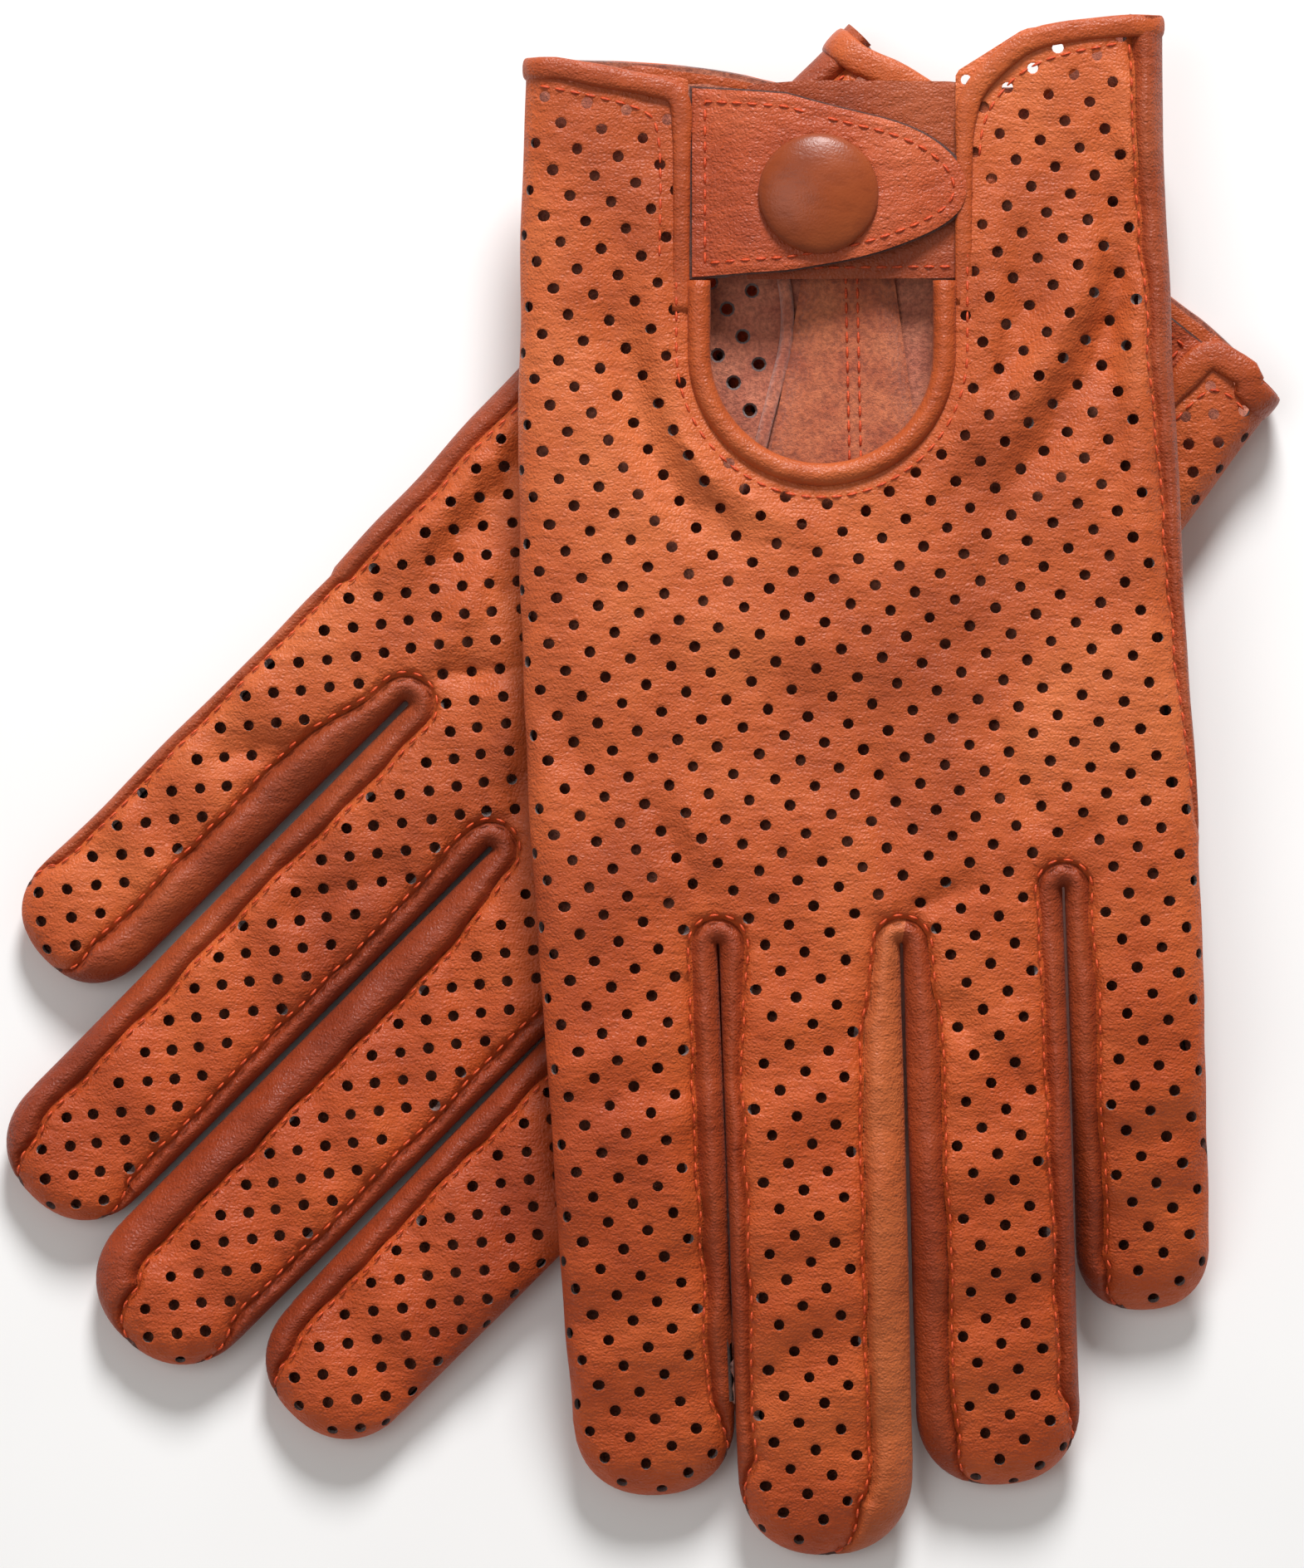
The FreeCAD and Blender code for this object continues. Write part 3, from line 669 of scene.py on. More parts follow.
def panel_mesh(line, holes, step):
    """Pattern points and triangles inside a closed line, with round holes left open.

    Returns the points, the triangles, and for each point 2 on a hole, 1 on its lip, else 0."""
    holes = holes[inside_polygon(holes, line)]
    closed = loop_of(line)
    if len(holes):
        holes = holes[nearest_on(holes, closed)[0] > HOLE_EDGE]
    tree = kdtree.KDTree(max(len(holes), 1))
    for number, (x, y) in enumerate(holes):
        tree.insert((x, y, 0), number)
    tree.balance()
    low, high = line.min(0), line.max(0)
    rows = [(x + (j % 2) * step / 2, y) for j, y in enumerate(np.arange(low[1], high[1], step * 0.87))
            for x in np.arange(low[0], high[0], step)]
    fill = np.array(rows)
    fill = fill[inside_polygon(fill, line)]
    fill = fill[nearest_on(fill, closed)[0] > step * 0.45 + 0.45]
    inward = -outward(closed)[:-1]
    if inside_polygon(line + inward * 0.05, line).mean() < 0.5:
        inward = -inward
    for inset in SEAM_RINGS:
        ring = line + inward * inset
        ring = ring[inside_polygon(ring, line)]
        ring = ring[nearest_on(ring, closed)[0] > inset * 0.85]
        fill = np.concatenate([fill, ring])
    if len(holes):
        clear = [tree.find((x, y, 0))[2] > HOLE_LIP_R + 0.55 for x, y in fill]
        fill = fill[np.array(clear)]
    points, kind, ring = [line, fill], [np.zeros(len(line) + len(fill))], []
    ring.append(np.full(len(line) + len(fill), -1))
    angles = np.arange(HOLE_SIDES) * 2 * math.pi / HOLE_SIDES
    circle = np.stack([np.cos(angles), np.sin(angles)], axis=1)
    wear = np.sin(np.arange(len(holes))[:, None] * (1.7, 2.9)) * 0.05
    circles = circle[None] * (1 + wear)[:, None, :]
    for level, radius in ((2, HOLE_R), (1, HOLE_LIP_R)):
        if len(holes):
            points.append((holes[:, None, :] + circles * radius).reshape(-1, 2))
            kind.append(np.full(len(holes) * HOLE_SIDES, level))
            owner = np.repeat(np.arange(len(holes)), HOLE_SIDES)
            ring.append(owner if level == 2 else np.full(len(owner), -1))
    points, kind, ring = np.concatenate(points), np.concatenate(kind), np.concatenate(ring)
    count = len(line)
    edges = [(i, (i + 1) % count) for i in range(count)]
    made = geometry.delaunay_2d_cdt([Vector(p) for p in points], edges, [], 0, 1e-5)
    source = np.array([old[0] if old else -1 for old in made[3]])
    points = np.array([tuple(p) for p in made[0]])
    kind, ring = kind[source], ring[source]
    triangles = np.array([tuple(face) for face in made[2]])
    in_hole = (ring[triangles] >= 0).all(1) & (np.ptp(ring[triangles], axis=1) == 0)
    triangles = triangles[~in_hole]
    triangles = triangles[inside_polygon(points[triangles].mean(1), line)]
    a, b, c = (points[triangles[:, i]] for i in range(3))
    area = (b[:, 0] - a[:, 0]) * (c[:, 1] - a[:, 1]) - (b[:, 1] - a[:, 1]) * (c[:, 0] - a[:, 0])
    triangles[area < 0] = triangles[area < 0][:, ::-1]
    return points, triangles[abs(area) > 1e-9], kind


def vertex_normals(points, faces):
    total = np.zeros_like(points)
    a, b, c = (points[faces[:, i]] for i in range(3))
    face_normals = np.cross(b - a, c - a)
    for i in range(3):
        np.add.at(total, faces[:, i], face_normals)
    return unit(total)


def make_object(name, points, faces, normals=None, finishes=None, materials=()):
    """A mesh object from world points in metres, with smooth faces."""
    mesh = bpy.data.meshes.new(name)
    mesh.from_pydata(np.asarray(points).tolist(), [], [tuple(f) for f in faces])
    mesh.polygons.foreach_set("use_smooth", [True] * len(mesh.polygons))
    for material in materials:
        mesh.materials.append(material)
    if finishes is not None:
        mesh.polygons.foreach_set("material_index", [int(i) for i in finishes])
    if normals is not None:
        mesh.normals_split_custom_set_from_vertices(np.asarray(normals).tolist())
    mesh.update()
    piece = bpy.data.objects.new(name, mesh)
    bpy.context.scene.collection.objects.link(piece)
    return piece


def skin(outer, triangles, thickness, groups=None):
    """Leather of one thickness under an outer surface: for each group, points, normals, faces
    and finishes (0 outside, 1 inside, 2 cut edge)."""
    normals = vertex_normals(outer, triangles)
    inner = outer - normals * thickness
    pairs = np.sort(np.concatenate([triangles[:, [0, 1]], triangles[:, [1, 2]],
                                    triangles[:, [2, 0]]]), axis=1)
    directed = np.concatenate([triangles[:, [0, 1]], triangles[:, [1, 2]], triangles[:, [2, 0]]])
    owner = np.tile(np.arange(len(triangles)), 3)
    _, first, counts = np.unique(pairs, axis=0, return_index=True, return_counts=True)
    open_edges = directed[first[counts == 1]]
    edge_owner = owner[first[counts == 1]]
    if groups is None:
        groups = np.zeros(len(triangles), int)
    result = {}
    for group in np.unique(groups):
        mine = triangles[groups == group]
        rims = open_edges[groups[edge_owner] == group]
        used = np.unique(mine)
        number = np.full(len(outer), -1)
        number[used] = np.arange(len(used))
        size = len(used)
        along = outer[rims[:, 1]] - outer[rims[:, 0]]
        away = unit(np.cross(along, normals[rims[:, 0]]))
        points = np.concatenate([outer[used], inner[used], outer[rims[:, 0]], outer[rims[:, 1]],
                                 inner[rims[:, 1]], inner[rims[:, 0]]])
        shades = np.concatenate([normals[used], -normals[used], away, away, away, away])
        count, base = len(rims), 2 * size
        quads = [(base + i, base + 3 * count + i, base + 2 * count + i, base + count + i)
                 for i in range(count)]
        faces = number[mine].tolist() + (number[mine][:, ::-1] + size).tolist() + quads
        finishes = [0] * len(mine) + [1] * len(mine) + [2] * count
        result[group] = (points, shades, faces, finishes)
    return result


def add_piece(glove, name, points, faces, body, materials, normals=None, finishes=None,
              replaces=(), finger=None):
    """Places hand-frame geometry in the pair."""
    world = glove.to_world(np.asarray(points))
    shades = None if normals is None else glove.turned(normals)
    if glove.data["mirrored"]:
        faces = [tuple(face)[::-1] for face in faces]
    piece = make_object(glove.side + "_" + name, world, faces, shades, finishes, materials)
    finish_piece(glove, piece, body, replaces, finger)
    return piece


def add_leather(glove, name, outer, triangles, thickness, body, look, looks, replaces=(),
                finger=None):
    """One leather piece: its look outside, suede inside, and dark cut edges."""
    mesh, shades, faces, finish = skin(outer, triangles, thickness)[0]
    add_piece(glove, name, mesh, faces, body,
              [looks[look], looks["suede"], looks["cut_edge"]], shades, finish, replaces, finger)


def add_thread(glove, name, rows, body, looks, finger=None):
    """Rows of stitches as one piece."""
    points, faces = merge(rows)
    add_piece(glove, name, points, faces, body, [looks["thread"]], finger=finger)


def finish_piece(glove, piece, body, replaces=(), finger=None):
    if finger is None:
        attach(piece, glove.side + "_" + body)
    else:
        start, end = glove.bend_ends(finger)
        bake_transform(piece)
    if replaces:
        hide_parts(*[glove.side + "_" + node for node in replaces])


def finger_groups(glove, points, triangles, face):
    """-1 for triangles of the hand and the finger roots, else the finger's number."""
    centres = points[triangles].mean(1)
    owner = glove.panel_owners(centres, face)
    group = np.full(len(triangles), -1)
    for number, name in enumerate(FINGERS):
        frame = glove.frames[name]
        along = (centres - frame["root"]) @ frame["forward"]
        group[(owner == number) & (along > SPLIT_AT + glove.frames[name]["root"][1])] = number
    return group


def sweep(path, ups, half_width, half_height, sides=12, power=2.0, caps=True):
    """A tube of rounded section along a path; ups point away from the surface it lies on."""
    path, ups = np.asarray(path, float), np.asarray(ups, float)
    along = unit(np.gradient(path, axis=0))
    across = unit(np.cross(along, ups))
    rise = np.cross(across, along)
    width = np.broadcast_to(half_width, len(path))
    height = np.broadcast_to(half_height, len(path))
    rings = []
    for angle in np.arange(sides) * 2 * math.pi / sides:
        c, s = math.cos(angle), math.sin(angle)
        u = math.copysign(abs(c) ** (2 / power), c)
        v = math.copysign(abs(s) ** (2 / power), s)
        rings.append(path + across * (u * width)[:, None] + rise * (v * height)[:, None])
    points = np.stack(rings, axis=1).reshape(-1, 3)
    faces = []
    for i in range(len(path) - 1):
        for j in range(sides):
            k = (j + 1) % sides
            faces.append((i * sides + j, i * sides + k, (i + 1) * sides + k, (i + 1) * sides + j))
    if caps:
        faces.append(tuple(range(sides))[::-1])
        faces.append(tuple((len(path) - 1) * sides + j for j in range(sides)))
    return points, faces


def merge(parts):
    """Several (points, faces) as one."""
    points, faces, base = [], [], 0
    for some, theirs in parts:
        points.append(some)
        faces += [tuple(i + base for i in face) for face in theirs]
        base += len(some)
    return np.concatenate(points), faces


def stitches(path, ups, pitch=SEAM_STITCH, length=1.65, radius=0.2, lift=0.12):
    """A row of thread stitches along a path on a surface."""
    path, ups = np.asarray(path, float), np.asarray(ups, float)
    run = run_along(path)
    parts = []
    shares = np.linspace(-1, 1, 6)
    for start in np.arange(pitch / 2, run[-1] - length, pitch):
        at = start + (shares + 1) / 2 * length
        spine = np.stack([np.interp(at, run, path[:, i]) for i in range(3)], axis=1)
        up = np.stack([np.interp(at, run, ups[:, i]) for i in range(3)], axis=1)
        spine += up * (lift * (1 - shares ** 2) - 0.1 * shares ** 2)[:, None]
        parts.append(sweep(spine, up, radius * np.sqrt(1.08 - shares ** 2 * 0.9),
                           radius * np.sqrt(1.08 - shares ** 2 * 0.9), sides=6))
    return parts


def stitch_row(glove, pattern, face=1, **sizes):
    """Stitches along a line of pattern points on a panel."""
    line = resample(pattern, 0.8)
    nudge = 0.2
    here = glove.on_surface(line, face)
    east = glove.on_surface(line + (nudge, 0), face)
    north = glove.on_surface(line + (0, nudge), face)
    ups = unit(np.cross(east - here, north - here))
    return stitches(here, ups * face, **sizes)


def flat_stitches(row, height, **sizes):
    """Stitches along a line in plan, at one height or at a height for each point."""
    path = np.column_stack([row, np.broadcast_to(height, len(row))])
    return stitches(path, upward(len(row)), **sizes)


# ---------------------------------------------------------------- materials

def srgb(r, g, b):
    return tuple(((c / 255 + 0.055) / 1.055) ** 2.4 if c > 10 else c / 255 / 12.92
                 for c in (r, g, b)) + (1.0,)


class Nodes:
    """A material's node tree, with short calls for the nodes used here."""

    def __init__(self, name):
        self.material = bpy.data.materials.new(name)
        self.material.use_nodes = True
        self.tree = self.material.node_tree
        self.shader = self.tree.nodes["Principled BSDF"]
        self.place = self.add("ShaderNodeTexCoord").outputs["Object"]

    def add(self, kind, **values):
        node = self.tree.nodes.new(kind)
        for key, value in values.items():
            setattr(node, key, value)
        return node

    def link(self, output, target):
        self.tree.links.new(output, target)

    def scaled(self, stretch):
        node = self.add("ShaderNodeMapping")
        node.inputs["Scale"].default_value = stretch
        self.link(self.place, node.inputs["Vector"])
        return node.outputs["Vector"]

    def noise(self, size, detail=3.0, rough=0.55, stretch=(1, 1, 1)):
        """Noise with features about size mm across."""
        node = self.add("ShaderNodeTexNoise")
        node.inputs["Scale"].default_value = 1000.0 / size
        node.inputs["Detail"].default_value = detail
        node.inputs["Roughness"].default_value = rough
        self.link(self.scaled(stretch), node.inputs["Vector"])
        return node.outputs["Fac"]

    def cells(self, size):
        """The distance to the edges of cells about size mm across."""
        node = self.add("ShaderNodeTexVoronoi", feature="DISTANCE_TO_EDGE")
        node.inputs["Scale"].default_value = 1000.0 / size
        self.link(self.place, node.inputs["Vector"])
        return node.outputs["Distance"]

    def ramp(self, value, stops):
        node = self.add("ShaderNodeValToRGB")
        while len(node.color_ramp.elements) < len(stops):
            node.color_ramp.elements.new(0.5)
        for element, (at, color) in zip(node.color_ramp.elements, stops):
            element.position = at
            element.color = color
        self.link(value, node.inputs["Fac"])
        return node.outputs["Color"]

    def painted_finger_shade(self):
        """How far a place is out towards the fingers, where painted shade deepens the colour."""
        split = self.add("ShaderNodeSeparateXYZ")
        self.link(self.place, split.inputs["Vector"])
        reach = self.add("ShaderNodeMapRange", interpolation_type="SMOOTHSTEP")
        reach.inputs["From Min"].default_value = 0.02
        reach.inputs["From Max"].default_value = -0.05
        self.link(split.outputs["Y"], reach.inputs["Value"])
        return reach.outputs["Result"]

    def math(self, kind, a, b):
        node = self.add("ShaderNodeMath", operation=kind)
        for slot, value in zip(node.inputs, (a, b)):
            if isinstance(value, (int, float)):
                slot.default_value = value
            else:
                self.link(value, slot)
        return node.outputs["Value"]

    def mix(self, factor, a, b, kind="MIX"):
        node = self.add("ShaderNodeMix", data_type="RGBA", blend_type=kind)
        for slot, value in ((node.inputs["Factor"], factor), (node.inputs[6], a), (node.inputs[7], b)):
            if isinstance(value, (int, float, tuple)):
                slot.default_value = value
            else:
                self.link(value, slot)
        return node.outputs[2]

    def bump(self, height, depth, distance=0.0002):
        node = self.add("ShaderNodeBump")
        node.inputs["Strength"].default_value = depth
        node.inputs["Distance"].default_value = distance
        self.link(height, node.inputs["Height"])
        self.link(node.outputs["Normal"], self.shader.inputs["Normal"])


def leather(name, dark, middle, light, grain=1.0, rough=(0.4, 0.58), sheen=0.03):
    """Smooth glove leather: blotched colour, a fine pebble, short cross wrinkles with painted shade in
    their creases, and painted shade towards the fingers.
    """
    nodes = Nodes(name)
    blotch = nodes.noise(34, 4, 0.6)
    base = nodes.ramp(blotch, [(0.3, dark), (0.5, middle), (0.72, light)])
    # painted shade: the colour is darkened towards the fingers
    base = nodes.mix(nodes.painted_finger_shade(), base, PAINTED_FINGER_SHADE, "MULTIPLY")
    pebble = nodes.cells(0.6)
    fine = nodes.noise(0.5, 2, 0.6)
    wrinkle = nodes.noise(1.7, 3, 0.6, (0.5, 1.2, 1.0))
    crease = nodes.noise(5.5, 3, 0.55, (0.7, 1.1, 1.0))
    # painted shade: the colour is darkened in the low parts of the wrinkles
    crease_shade = nodes.ramp(wrinkle, [(0.36, (0.8, 0.76, 0.74, 1)), (0.52, (1, 1, 1, 1))])
    colour = nodes.mix(0.55, base, crease_shade, "MULTIPLY")
    nodes.link(colour, nodes.shader.inputs["Base Color"])
    gloss = nodes.add("ShaderNodeMapRange")
    gloss.inputs["To Min"].default_value, gloss.inputs["To Max"].default_value = rough
    nodes.link(crease, gloss.inputs["Value"])
    nodes.link(gloss.outputs["Result"], nodes.shader.inputs["Roughness"])
    height = nodes.math("MULTIPLY", pebble, 0.9)
    for layer, share in ((fine, 0.5), (wrinkle, 1.5), (crease, 2.2)):
        height = nodes.math("ADD", height, nodes.math("MULTIPLY", layer, share))
    nodes.bump(height, grain)
    nodes.shader.inputs["Specular IOR Level"].default_value = 0.36
    nodes.shader.inputs["Sheen Weight"].default_value = sheen
    nodes.shader.inputs["Sheen Roughness"].default_value = 0.5
    return nodes.material


def suede(name, dark, light):
    """The flesh side: short nap, brushed patches, no gloss."""
    nodes = Nodes(name)
    patch = nodes.noise(6, 4, 0.65)
    nap = nodes.noise(0.75, 5, 0.75)
    base = nodes.ramp(patch, [(0.32, dark), (0.68, light)])
    fleck = nodes.ramp(nap, [(0.38, (0.5, 0.44, 0.42, 1)), (0.58, (1, 1, 1, 1))])
    nodes.link(nodes.mix(0.8, base, fleck, "MULTIPLY"), nodes.shader.inputs["Base Color"])
    nodes.shader.inputs["Roughness"].default_value = 0.95
    nodes.shader.inputs["Specular IOR Level"].default_value = 0.1
    nodes.shader.inputs["Sheen Weight"].default_value = 0.45
    nodes.shader.inputs["Sheen Roughness"].default_value = 0.6
    nodes.bump(nap, 1.0, 0.0005)
    return nodes.material


def thread(name, dark, light):
    nodes = Nodes(name)
    ply = nodes.noise(0.3, 1, 0.5, (1, 2.2, 1))
    nodes.link(nodes.ramp(ply, [(0.35, dark), (0.6, light)]), nodes.shader.inputs["Base Color"])
    nodes.shader.inputs["Roughness"].default_value = 0.55
    nodes.bump(ply, 0.6, 0.0001)
    return nodes.material


def metal(name, dark, light):
    nodes = Nodes(name)
    wear = nodes.noise(1.4, 4, 0.6)
    nodes.link(nodes.ramp(wear, [(0.35, dark), (0.65, light)]), nodes.shader.inputs["Base Color"])
    nodes.shader.inputs["Metallic"].default_value = 1.0
    gloss = nodes.ramp(wear, [(0.3, (0.45, 0.45, 0.45, 1)), (0.7, (0.25, 0.25, 0.25, 1))])
    nodes.link(gloss, nodes.shader.inputs["Roughness"])
    nodes.bump(nodes.noise(0.5, 2, 0.5), 0.25, 0.0001)
    return nodes.material


def make_materials():
    return {
        "perforated": leather("perforated_leather", srgb(156, 64, 23), srgb(187, 86, 38),
                              srgb(206, 107, 56)),
        "plain": leather("plain_leather", srgb(124, 48, 19), srgb(149, 63, 28), srgb(168, 81, 43)),
        "tan": leather("tan_leather", srgb(170, 84, 45), srgb(188, 102, 60), srgb(200, 118, 75)),
        "palm": leather("palm_leather", srgb(164, 70, 32), srgb(190, 88, 44), srgb(204, 104, 60)),
        "bound": leather("bound_leather", srgb(146, 58, 22), srgb(174, 77, 32), srgb(192, 97, 48),
                         grain=0.85, rough=(0.36, 0.5)),
        "strap": leather("strap_leather", srgb(142, 54, 24), srgb(176, 76, 38), srgb(200, 102, 62),
                         grain=1.1, rough=(0.38, 0.52)),
        "cap": leather("cap_leather", srgb(116, 48, 20), srgb(142, 64, 28), srgb(160, 80, 38),
                       grain=0.2, rough=(0.3, 0.4)),
        "suede": suede("suede", srgb(184, 92, 66), srgb(222, 134, 100)),
        "gusset": suede("gusset_suede", srgb(180, 82, 44), srgb(216, 120, 74)),
        "cut_edge": suede("cut_edge", srgb(74, 32, 22), srgb(112, 52, 34)),
        "thread": thread("thread", srgb(168, 46, 14), srgb(222, 84, 30)),
        "metal": metal("snap_metal", srgb(150, 110, 60), srgb(196, 160, 100)),
    }


# ---------------------------------------------------------------- pieces

def seamed(glove, points, kind, line, groove, face):
    """Lifts a flat panel onto the glove, sunk at its seams and pressed in at its holes."""
    outer = glove.on_surface(points, face)
    closed = loop_of(line)
    gap, place, _ = nearest_on(points, closed)
    depth = along_list(loop_of(groove), place)
    run = run_along(closed)
    pucker = np.cos(along_list(run, place) * 2 * math.pi / SEAM_STITCH)
    sunk = depth * np.exp(-(gap / SEAM_HALF) ** 2)
    sunk += depth * 0.16 * pucker * np.exp(-(gap / PUCKER_REACH) ** 2)
    outer[:, 2] -= face * (sunk + HOLE_DIP * (kind == 2))
    return outer


def panel(glove, looks, face):
    """The back (face 1) or the palm (face -1), as the hand's part and the fingers' parts."""
    side, look = ("back", "perforated") if face > 0 else ("palm", "palm")
    line, groove = glove.boundary(face)
    holes, step = glove.lattice(), FILL_STEP
    if face < 0:
        holes = holes + PALM_SHIFT
        beside = abs(holes[:, 0] - glove.data["slot_x"] + 17)
        holes = holes[(beside < 8.5) & (abs(holes[:, 1] - 88) < 22)]
        step = PALM_STEP
    points, triangles, kind = panel_mesh(line, holes, step)
    outer = seamed(glove, points, kind, line, groove, face)
    triangles = triangles[:, ::face]
    parts = skin(outer, triangles, LEATHER, finger_groups(glove, points, triangles, face))
    finishes = [looks[look], looks["suede"], looks["cut_edge"]]
    for group, (mesh, shades, faces, finish) in parts.items():
        name, body, finger, node = side + "_leather", "hand", None, side + "_panel"
        if group >= 0:
            body = finger = FINGERS[group]
            name, node = f"{finger}_{side}_leather", f"{finger}_tip_{side}"
        add_piece(glove, name, mesh, faces, body, finishes, shades, finish,
                  [node], finger)


def wall_strip(glove, first, last, columns=WALL_COLUMNS):
    """The leather between the back's seam and the palm's, along stations of the outline."""
    stations = np.arange(first, last)
    line, normals = glove.line[stations], glove.normals[stations]
    top, under = glove.back_arc[stations], glove.palm_arc[stations]
    middle, half = glove.heights(line)
    run = glove.length[stations]
    rows = []
    for column in range(columns + 1):
        share = 0.5 - 0.5 * math.cos(math.pi * column / columns)
        arc = top + (-under - top) * share
        face = np.where(arc >= 0, 1.0, -1.0)
        inset, rise = edge_profile(abs(arc))
        from_seam = np.minimum(top - arc, arc + under)
        swell = 0.85 * smooth(from_seam / 2.4) * smooth((top + under) / 4)
        sunk = SEAM_DEPTH * np.exp(-(from_seam / 0.6) ** 2)
        pucker = 0.2 * np.cos(run * 2 * math.pi / SEAM_STITCH) * np.exp(-(from_seam / 1.5) ** 2)
        lift = swell * (0.3 + 0.7 * rise) - sunk - pucker
        side = np.sqrt(np.maximum(1 - rise ** 2, 0))
        spot = line - normals * (inset - 0.3 * lift * side)[:, None]
        middle, half = glove.heights(spot)
        crown = np.where(face > 0, crown_at(inset), 1.0)
        z = middle + face * (half * rise * crown + lift * rise)
        wave = glove.relief(spot) * rise * np.where(face > 0, 0.8, 0.3)
        rows.append(np.column_stack([spot, z + wave]))
    points = np.stack(rows, axis=1).reshape(-1, 3)
    width = columns + 1
    faces = []
    for i in range(len(stations) - 1):
        for j in range(columns):
            a = i * width + j
            faces.append((a, a + width + 1, a + width))
            faces.append((a, a + 1, a + width + 1))
    return points, np.array(faces)


def add_wall(glove, name, first, last, body, look, looks, replaces=(), finger=None, light=0):
    """A wall piece; its first light stations are in the lighter leather."""
    points, faces = wall_strip(glove, first, last)
    mesh, shades, flat, finish = skin(points, faces, LEATHER)[0]
    for i in range(light * 2 * WALL_COLUMNS):
        finish[i] = 3
    return add_piece(glove, name, mesh, flat, body,
                     [looks[look], looks["suede"], looks["cut_edge"], looks["tan"]], shades,
                     finish, replaces, finger)


def split_station(glove, name, side):
    """The station on a finger's side where its own pieces take over from the hand's."""
    low, high = glove.spans[name]
    frame = glove.frames[name]
    along = (glove.line[low:high] - frame["root"]) @ frame["forward"]
    wanted = SPLIT_AT + frame["root"][1]
    past = np.nonzero(along > wanted)[0]
    return low + (past[0] if side < 0 else past[-1])


def wall_end(glove, name, side):
    """The station at the fingertip where a side's fourchette has run out."""
    low, high = glove.spans[name]
    total = glove.back_arc[low:high] + glove.palm_arc[low:high]
    empty = np.nonzero(total < 0.02)[0]
    if not len(empty):
        return (low + high) // 2
    return low + (empty[0] if side < 0 else empty[-1])


def fourchettes(glove, looks):
    tips = {name: [] for name in FINGERS}
    for before, after in zip(FINGERS, FINGERS[1:]):
        start = split_station(glove, before, 1)
        end = split_station(glove, after, -1)
        light = glove.spans[before][1] + 4 - start if (glove.side, before) == ("left", "middle") else 0
        add_wall(glove, f"fourchette_arch_{before}_{after}", start, end + 1, "hand", "plain", looks,
                 [f"fourchette_{before}_{after}"], light=light)
        tips[before].append(("little", wall_end(glove, before, 1), start + 1))
        tips[after].append(("index", end, wall_end(glove, after, -1) + 1))
    for name, walls in tips.items():
        for facing, first, last in walls:
            light = (glove.side, name, facing) == ("left", "middle", "little")
            nodes = [name + "_tip_fourchettes"] if facing == walls[0][0] else []
            add_wall(glove, f"{name}_fourchette_{facing}_side", first, last, name,
                     "tan" if light else "plain", looks, nodes, finger=name)


def side_strip(glove, looks):
    """The strip down the little side; on the finger it tapers away."""
    start = split_station(glove, "little", 1)
    cuff = glove.data["little_side"][-1][1]
    last = len(glove.line) - np.nonzero(glove.line[::-1, 1] < cuff)[0][0]
    add_wall(glove, "side_strip_leather", start, last, "hand", "plain", looks, ["side_strip"])
    end = wall_end(glove, "little", 1)
    add_wall(glove, "little_side_strip", end, start + 1, "little", "plain", looks, finger="little")


def seam_threads(glove, looks):
    """Stitches along every back seam, on the back panel's side of it."""
    edge = glove.line + glove.normals * (EDGE_ARC - EDGE_RUN - glove.back_arc - 0.5)[:, None]
    hand = []
    spans = []
    for before, after in zip(FINGERS, FINGERS[1:]):
        spans.append((split_station(glove, before, 1), split_station(glove, after, -1) + 1))
    start = split_station(glove, "little", 1)
    cuff = glove.data["little_side"][-1][1]
    last = len(glove.line) - np.nonzero(glove.line[::-1, 1] < cuff - 1)[0][0]
    if glove.side == "left":
        start = np.nonzero(glove.line[:, 1] > glove.data["strip"][0] + 4)[0]
        start = start[start > glove.spans["little"][1]][0]
    spans.append((start, last))
    for first, final in spans:
        hand += stitch_row(glove, edge[first:final], **SEAM_THREAD)
    add_thread(glove, "back_seam_stitches", hand, "hand", looks)
    for name in FINGERS:
        rows = []
        for side in (-1, 1):
            if glove.data["fingers"][name][6 if side < 0 else 7][0] == 0.0:
                continue
            cut, end = split_station(glove, name, side), wall_end(glove, name, side)
            low, high = (cut, end - 1) if side < 0 else (end + 2, cut + 1)
            rows += stitch_row(glove, edge[low:high], **SEAM_THREAD)
        add_thread(glove, name + "_seam_stitches", rows, name, looks, finger=name)


def keyhole(glove, looks):
    """Round piping inside the keyhole, and the row of stitches outside it."""
    x = glove.data["slot_x"]
    radius = SLOT_HALF - PIPING_R + 0.1
    line = [(x + radius, PIPING_TOP_Y)] + glove.keyhole_arc(radius) + [(x - radius, PIPING_TOP_Y)]
    flat = resample(line, 1.2)
    path = np.column_stack([flat, np.full(len(flat), HAND_DEPTH - 0.42)])
    swell = 1 + 0.04 * soft_noise(flat, 6, 5)
    points, faces = sweep(path, upward(len(path)), PIPING_R * swell, PIPING_R * swell, sides=18)
    add_piece(glove, "keyhole_piping", points, faces, "hand", [looks["bound"]],
              replaces=["keyhole_binding"])
    outer = SLOT_HALF + 1.75
    row = [(x + outer, glove.data["flaps"][1][1] - 5)] + glove.keyhole_arc(outer)
    row.append((x - outer, glove.data["flaps"][0][1] - 5))
    rows = stitch_row(glove, row, pitch=HEM_STITCH, radius=HEM_THREAD_R)
    add_thread(glove, "keyhole_stitches", rows, "hand", looks)


def rim_path(glove, side_key, y):
    """Points round one side of the cuff, from the back over the edge to the palm."""
    x = float(glove.side_x(side_key, y))
    inward = 1 if side_key == "index_side" else -1
    path, ups = [], []
    middle, half = glove.heights(np.array([[x, y]]))
    for arc in np.linspace(EDGE_ARC, -EDGE_ARC, 13):
        inset, rise = edge_profile(abs(arc))
        sign = 1 if arc >= 0 else -1
        swell = 0.93 if sign > 0 else 1
        path.append((x + inward * inset, y, middle[0] + sign * half[0] * rise * swell))
        ups.append((-inward * math.sqrt(max(0, 1 - rise ** 2)), 0, sign * rise))
    return path, ups


